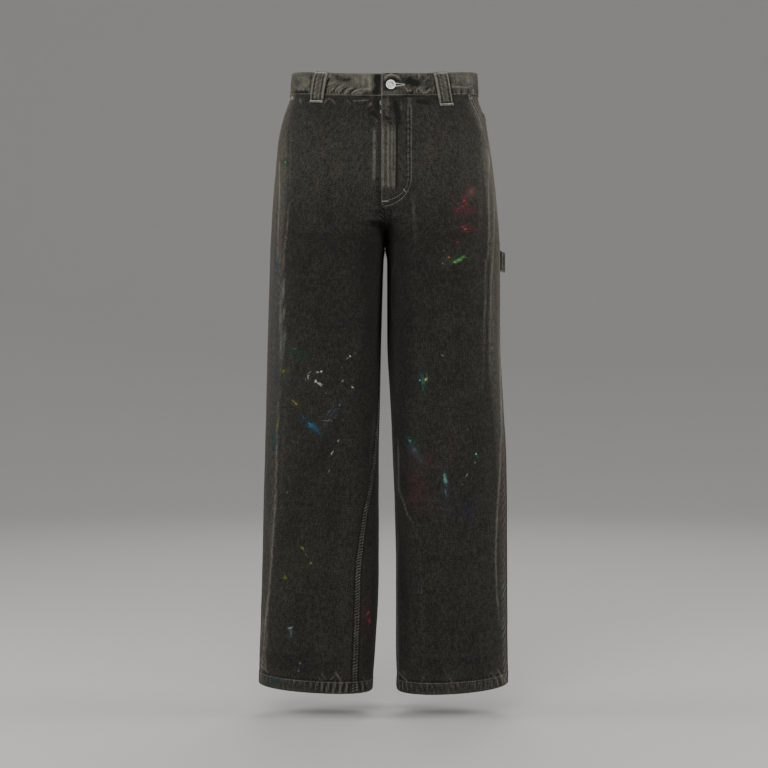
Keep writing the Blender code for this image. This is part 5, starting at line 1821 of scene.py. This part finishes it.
# A fleck's place in this table also picks its ragged edge, so new ones go last.
FLECKS = table("panel side down x length width turn rim core solid", """
front right:
.154 -.1745 .0085 .0062 0 green lime .5
front left:
.205 .151 .0075 .006 30 red rose .43
.221 .138 .008 .004 0 red rose .48
.231 .1365 .006 .0026 5 red rose .38
.239 .1255 .0045 .004 0 red rose .33
.267 .136 .0085 .0038 80 red rose .43
.271 .142 .009 .0056 70 red orange .38
.294 .127 .004 .0038 0 red white .48
.321 .112 .0042 .0038 0 orange yellow .7
.325 .1285 .024 .0075 -58 green lime .75
.319 .136 .01 .0032 -70 olive yellow .55
.321 .143 .013 .0032 -78 moss green .5
.309 .103 .005 .003 20 grey pearl .35
.331 .101 .005 .0032 0 grey pearl .4
.492 .101 .005 .0028 60 grey pearl .75
.479 .187 .0034 .003 0 grey pearl .8
.446 .176 .0026 .0024 0 grey pearl .6
.535 .0655 .027 .011 3 teal green .48
.547 .066 .013 .0042 10 moss green .45
.531 .0735 .015 .003 2 olive yellow .7
.535 .061 .0032 .003 0 aqua white .85
.534 .071 .0046 .0034 0 lime white .85
.64 .0425 .02 .009 46 teal aqua .26
.656 .049 .019 .0096 42 slate lavender .4
.674 .061 .018 .004 42 slate lavender .36
.664 .159 .0044 .0038 0 aqua white .85
.668 .161 .0085 .006 30 teal teal .45
.679 .1575 .0036 .0022 0 grey pearl .4
.71 .106 .027 .0085 3 teal aqua .8
.707 .105 .016 .0045 3 aqua aqua .85
.732 .1062 .017 .0046 3 slate lavender .62
.701 .143 .009 .0022 -32 grey lime .55
.717 .135 .0056 .003 50 olive yellow .45
front right:
.481 -.161 .018 .0046 -82 moss green .32
.519 -.177 .0075 .007 0 olive yellow .65
.519 -.1768 .003 .0026 0 yellow white .8
.575 -.157 .02 .0046 55 olive yellow .45
.577 -.155 .0055 .0028 50 yellow white .7
.612 -.188 .029 .0028 -2 olive yellow .62
.64 -.1935 .024 .0036 -4 moss teal .42
.615 -.1275 .029 .01 56 blue cyan .62
.613 -.13 .015 .0028 56 cyan aqua .55
.601 -.142 .013 .0028 35 blue cyan .42
.627 -.1155 .015 .0042 48 blue blue .5
.531 -.1345 .0105 .0024 22 pearl white .42
.522 -.132 .0086 .0024 -40 grey pearl .46
.534 -.1385 .0075 .002 30 grey pearl .31
.521 -.1182 .0066 .0036 80 pearl white .58
.537 -.1212 .0072 .0046 20 pearl white .52
.542 -.1134 .0082 .0048 55 pearl white .6
.536 -.0744 .0066 .005 10 grey pearl .45
.548 -.0558 .0076 .0036 55 pearl white .58
.493 -.061 .0048 .0038 0 pearl white .71
.488 -.052 .0032 .0024 0 grey pearl .46
.579 -.079 .0071 .003 35 grey pearl .36
.589 -.0965 .023 .0024 -32 slate grey .42
.59 -.0895 .023 .003 -32 slate slate .45
.606 -.1 .0322 .0018 88 grey pearl .3
.604 -.098 .0034 .0026 0 grey pearl .56
.642 -.082 .0085 .0028 0 grey pearl .46
.663 -.093 .0103 .0032 -25 pearl white .48
.694 -.098 .0149 .002 -10 grey pearl .3
.731 -.171 .0041 .0028 0 grey pearl .46
.829 -.1435 .015 .0046 48 olive yellow .66
.841 -.138 .0072 .0034 40 olive yellow .55
.855 -.1296 .007 .005 80 olive yellow .66
.88 -.1745 .0092 .0062 10 olive yellow .7
.968 -.1655 .0056 .014 8 teal pearl .6
.976 -.164 .02 .006 6 teal grey .58
1.006 -.1715 .017 .0016 28 slate grey .42
1.02 -.1615 .015 .0015 55 slate grey .4
1.03 -.1475 .009 .0068 12 slate pearl .5
1.041 -.151 .011 .0034 -20 grey pearl .5
inseam right:
.942 -.0297 .01 .004 20 red rose .5
.955 -.0271 .014 .0052 -4 red rose .52
back right:
.345 -.132 .006 .0045 0 pearl white .7
.42 -.118 .022 .006 22 slate lavender .55
.505 -.08 .0052 .004 0 grey pearl .7
.61 -.14 .016 .0042 -40 olive yellow .55
.79 -.092 .014 .0052 -30 wine red .5
.93 -.15 .006 .004 0 teal aqua .6
back left:
.365 .072 .009 .0036 30 olive yellow .55
.46 .15 .005 .0044 0 grey pearl .75
.52 .13 .022 .0066 -40 moss green .62
.68 .082 .012 .004 60 pearl white .6
.745 .145 .0046 .004 0 red rose .6
.88 .12 .024 .005 10 blue cyan .6
front right:
.52 -.1112 .0058 .0038 88 pearl white .62
.54 -.1174 .006 .0028 45 pearl white .46
.526 -.1332 .0046 .0036 0 pearl white .55
.497 -.066 .006 .0026 -45 grey pearl .36
""")
SPATTER = table("panel side down x spread count colour", """
front right:
.53 -.105 .05 4 pearl
.6 -.1 .06 4 grey
.56 -.15 .04 7 olive
.84 -.14 .04 2 olive
.46 -.12 .06 3 grey
.985 -.15 .04 3 grey
front left:
.245 .14 .034 4 rose
.325 .115 .025 4 olive
.5 .12 .07 3 grey
.69 .12 .06 4 grey
.66 .05 .03 2 teal
.86 .11 .08 5 grey
back right:
.42 -.11 .08 8 pearl
back left:
.54 .12 .08 8 pearl
back right:
.8 -.11 .08 6 olive
back left:
.85 .12 .08 6 grey
""")
splash = np.random.default_rng(41)
panels = {("front", s): fronts[s] for s in fronts}
panels |= {(p, s): backs[s] for s in backs for p in ("back", "inseam")}


def find(cloth, x, down, facing):
    """The level and the distance in of the spot that shows here, and how narrowed it looks."""
    aside, below = seen(cloth.point)
    hidden = cloth.normal[..., 1] * facing < 0
    far = (aside - x) ** 2 + (below - down) ** 2 + hidden
    r, c = np.unravel_index(np.argmin(far), aside.shape)
    r, c = np.clip(r, 1, len(aside) - 2), np.clip(c, 1, aside.shape[1] - 2)
    rows, columns = (slice(r - 1, r + 2, 2), c), (r, slice(c - 1, c + 2, 2))
    slopes = [[float(np.diff(f[at])[0]) for at in (columns, rows)] for f in (aside, below)]
    step = np.clip(np.linalg.solve(slopes, (x - aside[r, c], down - below[r, c])), -0.5, 0.5)
    run = float(np.diff(cloth.from_in[columns])[0])
    level = cloth.level[r, c] + step[1] * float(np.diff(cloth.level[rows])[0])
    return level, cloth.from_in[r, c] + step[0] * run, max(abs(slopes[0][0] / run), 0.35)


def fleck(cloth, one, number):
    """One fleck's points, faces and colours."""
    turn = math.radians(one["turn"])
    half = np.array((one["length"], one["width"])) * 0.56
    counts = np.maximum(np.ceil(2 * half / FLECK_CELL), 7).astype(int)
    u, v = np.meshgrid(np.linspace(-1, 1, counts[0]), np.linspace(-1, 1, counts[1]), indexing="ij")
    a, b = u * half[0], v * half[1]
    middle, start, narrow = find(cloth, one["x"], one["down"], FACING[one["panel"]])
    across = start + (a * math.sin(turn) + b * math.cos(turn)) * cloth.side / narrow
    level = middle + a * math.cos(turn) - b * math.sin(turn)
    size = min(one["length"], one["width"])
    ragged = crumple(a + number * 0.013, b, size * 0.55, number % 4) * 0.55
    streaks = ripple(a * 0.18 + number * 0.031, b, 0.0013, (number + 1) % 4)
    streaks = streaks * 0.35 * min(one["length"] / size - 1, 1)
    grain = ripple(a + 3, b + number * 0.017, 0.0011, (number + 2) % 4) * (1 - one["solid"]) * 0.9
    body = (0.45 + one["solid"] * 0.75) - np.hypot(u, v) * 1.12 + ragged + streaks + grain
    index = np.arange(u.size).reshape(u.shape)
    cells = quads(index)
    kept = cells[body.ravel()[cells].mean(1) > 0.0]
    if not len(kept):
        return None
    level = np.clip(level, 0.12, LENGTH - 0.001)
    place, way = cloth.spot(level, np.clip(across, 0.0005, None))
    uses = np.bincount(kept.ravel(), minlength=u.size).reshape(u.shape)
    height = np.where(uses == 4, PAINT_THIN + PAINT_RISE * np.clip(body, 0, 0.8), -RIM_SINK)
    points = place + way * height[..., None]
    rim, core = (np.array(PAINT_AND_SHADOW_COLOURS[one[k]]) for k in ("rim", "core"))
    share = ease((body - 0.25) / 0.55 + crumple(a, b + number, 0.0016, 3) * 0.5)[..., None]
    colour = rim + (core - rim) * share
    used = np.unique(kept)
    new = np.zeros(u.size, int)
    new[used] = np.arange(len(used))
    return points.reshape(-1, 3)[used], new[kept], colour.reshape(-1, 3)[used]


def spatter_rows():
    """Small specks thrown round the larger marks."""
    for mark in SPATTER:
        for _ in range(int(mark["count"])):
            dl, dx = splash.normal(0, mark["spread"] / 2, 2)
            size = splash.uniform(0.0010, 0.0024)
            where = min(max(abs(mark["x"] + dx), 0.03), 0.185) * mark["side"]
            length, turn = size * splash.uniform(1.0, 1.7), splash.uniform(-60, 60)
            yield {"panel": mark["panel"], "side": mark["side"], "down": mark["down"] + dl, "x": where,
                   "length": length, "width": size, "turn": turn, "rim": mark["colour"],
                   "core": mark["colour"], "solid": 0.7}


paint_pieces = {}
drops = {}
for number, one in enumerate([*FLECKS, *spatter_rows()]):
    made = fleck(panels[one["panel"], one["side"]], one, number)
    if made:
        panel = one["panel"].replace("inseam", "back") + "_" + NAMES[one["side"]]
        drops.setdefault(panel, []).append(made)
for name, parts in drops.items():
    starts = np.cumsum([0] + [len(p[0]) for p in parts[:-1]])
    faces = np.concatenate([p[1] + s for p, s in zip(parts, starts)])
    piece = make_mesh("paint_" + name, np.concatenate([p[0] for p in parts]), faces.tolist(), 180)
    colour = np.concatenate([p[2] for p in parts])
    give(piece, "paint", "FLOAT_COLOR", np.concatenate([colour, np.ones((len(colour), 1))], 1))
    paint_pieces[name] = piece
    print("paint on", name, len(parts), "flecks", len(faces), "faces")

# %% [markdown]
# ## What was cut
#
# Before it is sewn, every panel is a flat sheet. A row gives the size that the part of it that shows
# was cut to: its width, its length and, since few panels are rectangles, its area.

# %% The cut of each panel
CUTS = table("name width length area held *rests_on", """
front_right .39 1.155 .33 hung waistband
front_left .37 1.155 .325 hung waistband
back_right .383 1.11 .33 hung yoke_right
back_left .408 1.105 .33 hung yoke_left
yoke_right .25 .09 .0165 hung waistband
yoke_left .28 .09 .0185 hung waistband
pocket_facing_right .06 .112 .004 hung waistband
pocket_facing_left .056 .112 .0036 hung waistband
back_pocket_right .168 .21 .031 laid back_right
back_pocket_left .176 .21 .0325 laid back_left
waistband .042 .926 whole stretched
hammer_loop .037 .14 whole hung back_left back_pocket_left
belt_loop_front_right .026 .058 whole hung waistband
belt_loop_front_left .026 .063 whole hung waistband
belt_loop_back_right .026 .06 whole hung waistband
belt_loop_back_left .026 .06 whole hung waistband
belt_loop_back_middle .026 .06 whole hung waistband
zip_tape .0105 .168 .0014 hung front_right
""")
for one in CUTS:
    name = one["name"]
    on_it = [group[name] for group in (stitch_pieces, paint_pieces) if name in group]
    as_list(one["rests_on"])
print(len(CUTS), "sheets; fronts and backs", sum(one["area"] for one in CUTS[:4]), "square metres")

# %% [markdown]
# ## Washed black denim
#
# Black denim never fades evenly: the warp on top loses its dye and the rubbed spots show nearly white
# cotton. The finish mixes a near-black with a warm pale grey by the fade attribute, which also carries
# painted shade, and lays the stain attribute over it, with its soaked-in paint and painted shadow.
# Noise breaks it into flecks, and a diagonal wave gives the twill a little relief. A photo texture
# could do this too, but a procedural one stays sharp at any distance.

# %% Finishes
DARK, PALE = (0.0088, 0.0090, 0.0074), (0.222, 0.211, 0.176)


class Finish:
    """A material's nodes, added one by one."""

    def __init__(self, name, roughness, metallic=0.0):
        self.material = bpy.data.materials.new(name)
        self.material.use_nodes = True
        self.tree = self.material.node_tree
        self.shader = self.tree.nodes["Principled BSDF"]
        self.set(Roughness=roughness, Metallic=metallic)

    def node(self, kind, settings=None, **inputs):
        made = self.tree.nodes.new("ShaderNode" + kind)
        for key, value in (settings or {}).items():
            setattr(made, key, value)
        for key, value in inputs.items():
            socket = made.inputs[int(key[1:])] if key[0] == "i" and key[1:].isdigit() else made.inputs[key]
            if isinstance(value, bpy.types.NodeSocket):
                self.tree.links.new(value, socket)
            else:
                socket.default_value = value
        return made

    def math(self, operation, a, b=0.0, clamp=False):
        return self.node("Math", {"operation": operation, "use_clamp": clamp}, i0=a, i1=b).outputs[0]

    def spread(self, value, middle, amount):
        """A value's distance from its middle, made larger."""
        return self.math("MULTIPLY", self.math("SUBTRACT", value, middle), amount)

    def mix(self, share, a, b, way="MIX"):
        made = self.node("Mix", {"data_type": "RGBA", "blend_type": way}, i0=share, i6=a, i7=b)
        return made.outputs[2]

    def stored(self, name, output="Fac"):
        """What `give` has put on the mesh."""
        return self.node("Attribute", {"attribute_name": name}).outputs[output]

    def place(self):
        return self.node("TexCoord").outputs["Object"]

    def flat_place(self):
        return self.node("UVMap", {"uv_map": "cloth"}).outputs[0]

    def noise(self, place, scale, detail, roughness=0.5, flat="3D"):
        made = self.node("TexNoise", {"noise_dimensions": flat}, Vector=place, Scale=scale, Detail=detail)
        made.inputs["Roughness"].default_value = roughness
        return made.outputs[0]

    def bump(self, height, strength, distance):
        """Small relief, seen in the light only."""
        made = self.node("Bump", Strength=strength, Distance=distance, Height=height)
        self.link(made.outputs[0], "Normal")

    def link(self, output, name):
        self.tree.links.new(output, self.shader.inputs[name])

    def set(self, **values):
        for name, value in values.items():
            self.shader.inputs[name.replace("_", " ")].default_value = value


def denim():
    made = Finish("denim", 0.92)
    place = made.flat_place()
    fade = made.math("MAXIMUM", made.stored("fade"), 0.0)
    stain_and_shade, stain_and_shade_cover = made.stored("stain_and_shade", "Color"), made.stored("stain_and_shade", "Alpha")
    speck = made.noise(place, 460.0, 3.0, 0.75, "2D")
    cloud = made.noise(place, 140.0, 3.0, 0.6, "2D")
    tint = made.noise(place, 22.0, 3.0, 0.5, "2D")
    tall = made.node("Mapping", Vector=place, Scale=(1.0, 0.12, 1.0)).outputs[0]
    slub = made.noise(tall, 620.0, 1.0, 0.5, "2D")
    twill = made.node("TexWave", {"bands_direction": "DIAGONAL"}, Vector=place, Scale=520.0,
                      Distortion=0.6, Detail=1.0).outputs[1]
    uneven = made.math("ADD", made.spread(speck, 0.5, 7.4), made.spread(cloud, 0.5, 2.8))
    uneven = made.math("ADD", uneven, made.spread(slub, 0.5, 2.2))
    reach = made.math("MINIMUM", made.math("ADD", made.math("MULTIPLY", fade, 0.50), 0.031), 0.12)
    amount = made.math("ADD", fade, made.math("MULTIPLY", uneven, reach), clamp=True)
    cloth = made.mix(amount, (*DARK, 1), (*PALE, 1))
    warm = made.math("ADD", made.spread(tint, 0.5, 3.0), 0.5, clamp=True)
    cast = made.mix(warm, (0.965, 1.0, 1.003, 1), (1.03, 0.994, 0.977, 1))
    cloth = made.mix(1.0, cloth, cast, way="MULTIPLY")
    made.link(made.mix(stain_and_shade_cover, cloth, stain_and_shade), "Base Color")
    height = made.math("ADD", made.math("MULTIPLY", twill, 0.4), made.math("MULTIPLY", speck, 0.6))
    made.bump(height, 0.6, 0.0005)
    bare = made.math("SUBTRACT", 1.0, stain_and_shade_cover, clamp=True)
    made.link(made.math("MULTIPLY", bare, 0.18), "Specular IOR Level")
    made.link(made.math("MULTIPLY", bare, 0.08), "Sheen Weight")
    made.set(Sheen_Roughness=0.45, Sheen_Tint=(0.80, 0.78, 0.72, 1))
    return made.material


def thread():
    made = Finish("thread", 0.75)
    fuzz = made.noise(made.place(), 900.0, 2.0)
    share = made.math("ADD", made.stored("tone"), made.spread(fuzz, 0.5, 0.5), clamp=True)
    made.link(made.mix(share, (0.020, 0.019, 0.016, 1), (0.42, 0.40, 0.35, 1)), "Base Color")
    made.bump(fuzz, 0.5, 0.0002)
    made.set(Sheen_Weight=0.15)
    return made.material


def dried_paint():
    made = Finish("dried_paint", 0.60)
    made.set(Specular_IOR_Level=0.15)
    grain = made.noise(made.place(), 1100.0, 3.0)
    dusty = made.math("MULTIPLY", made.math("SUBTRACT", grain, 0.33), 1.7, clamp=True)
    made.link(made.mix(dusty, made.stored("paint", "Color"), (0.030, 0.029, 0.026, 1)), "Base Color")
    made.bump(grain, 0.5, 0.0003)
    return made.material


def metal(name, colour, roughness, wear):
    """Plated metal, dulled in patches and finely scratched."""
    made = Finish(name, roughness, 1.0)
    patches = made.noise(made.place(), 420.0, 4.0)
    share = made.math("MULTIPLY", made.math("SUBTRACT", patches, 0.45), wear, clamp=True)
    plate = made.mix(share, (*colour, 1), tuple(0.45 * c for c in colour) + (1,))
    grime = made.math("MULTIPLY", made.stored("grime"), 0.8)
    made.link(made.mix(grime, plate, (0.10, 0.09, 0.06, 1)), "Base Color")
    made.link(made.math("ADD", roughness, made.math("MULTIPLY", patches, 0.25)), "Roughness")
    made.bump(patches, 0.25, 0.0002)
    return made.material


def tape():
    made = Finish("zip_tape_cotton", 0.9)
    ribs = made.node("TexWave", {"bands_direction": "Y"}, Vector=made.flat_place(), Scale=330.0).outputs[1]
    made.link(made.mix(ribs, (0.006, 0.006, 0.006, 1), (0.022, 0.021, 0.019, 1)), "Base Color")
    made.bump(ribs, 0.6, 0.0003)
    return made.material


finishes = {
    "denim": denim(), "thread": thread(), "dried_paint": dried_paint(), "zip_tape": tape(),
    "zip_teeth": metal("zip_metal", (0.34, 0.33, 0.30), 0.42, 2.2),
    "button": metal("button_metal", (0.86, 0.84, 0.80), 0.26, 1.2),
}
for name, piece in pieces.items():
    if name.startswith("stitches_"):
        chosen = "thread"
    elif name.startswith("paint_"):
        chosen = "dried_paint"
    else:
        chosen = name if name in finishes else "denim"
    piece.data.materials.clear()
    piece.data.materials.append(finishes[chosen])
print("finishes", sorted(finishes), "on", len(pieces), "pieces")

# %% [markdown]
# ## The studio
#
# The jeans float over a pale floor, as on a hidden stand. One wide soft light in front and above gives
# even light, and two narrow ones at the sides pick out the edges of the legs.

# %% Camera, floor and light
FRAME_WIDTH = 1.342
FLOOR_GAP, FLOOR_REACH, WALL_BEND = 0.04, 4.6, 3.2
JEANS_MIDDLE, SENSOR_WIDTH = (0, 0, -0.5), 36.0
ROOM_COLOUR, ROOM_LIGHT = (0.80, 0.785, 0.77, 1), 0.38


def area_light(name, place, size, power, colour=(1, 1, 1)):
    """A soft light, turned to the middle of the jeans."""
    lamp = bpy.data.lights.new(name, "AREA")
    lamp.shape = "RECTANGLE"
    lamp.size, lamp.size_y = size
    lamp.energy = power
    lamp.color = colour
    made = add_object(name, lamp)
    made.location = place
    made.rotation_euler = (Vector(JEANS_MIDDLE) - Vector(place)).to_track_quat("-Z", "Y").to_euler()


def studio():
    lens = bpy.data.cameras.new("camera")
    lens.sensor_width = SENSOR_WIDTH
    lens.lens = SENSOR_WIDTH * EYE_DISTANCE / FRAME_WIDTH
    camera = add_object("camera", lens)
    camera.location = (EYE_X, -EYE_DISTANCE, EYE_HEIGHT)
    camera.rotation_euler = (math.radians(90), 0, 0)
    bpy.context.scene.camera = camera
    low = cad_box[0][2] - FLOOR_GAP
    bend = np.linspace(0, math.pi / 2, 24)
    radius = np.concatenate([[0.05], FLOOR_REACH + WALL_BEND * np.sin(bend)])
    height = np.concatenate([[low], low + WALL_BEND * (1 - np.cos(bend))])
    turn = np.arange(96) * math.tau / 96
    points = [(r * math.cos(t), r * math.sin(t), z) for r, z in zip(radius, height) for t in turn]
    index = np.arange(len(points)).reshape(len(radius), len(turn))
    mesh = add_mesh("floor", points, ring_quads(index).tolist() + [index[0][::-1].tolist()])
    mesh.shade_smooth()
    ground = add_object("floor", mesh)
    made = Finish("floor_paint", 0.95)
    made.set(Base_Color=(0.62, 0.61, 0.60, 1))
    ground.data.materials.append(made.material)
    area_light("front_light", (-0.7, -3.4, 1.3), (2.6, 2.6), 80)
    area_light("low_light", (1.0, -3.0, -0.4), (1.6, 1.2), 22)
    area_light("back_light", (0.4, 3.0, 2.9), (2.4, 2.4), 60)
    area_light("left_edge", (-2.4, -0.2, 0.1), (0.8, 2.2), 27, (1.0, 0.97, 0.93))
    area_light("right_edge", (2.4, -0.2, 0.1), (0.8, 2.2), 27, (1.0, 0.98, 0.95))
    world = bpy.data.worlds.new("room")
    world.use_nodes = True
    colour, strength = world.node_tree.nodes["Background"].inputs[:2]
    colour.default_value = ROOM_COLOUR
    strength.default_value = ROOM_LIGHT
    bpy.context.scene.world = world


studio()
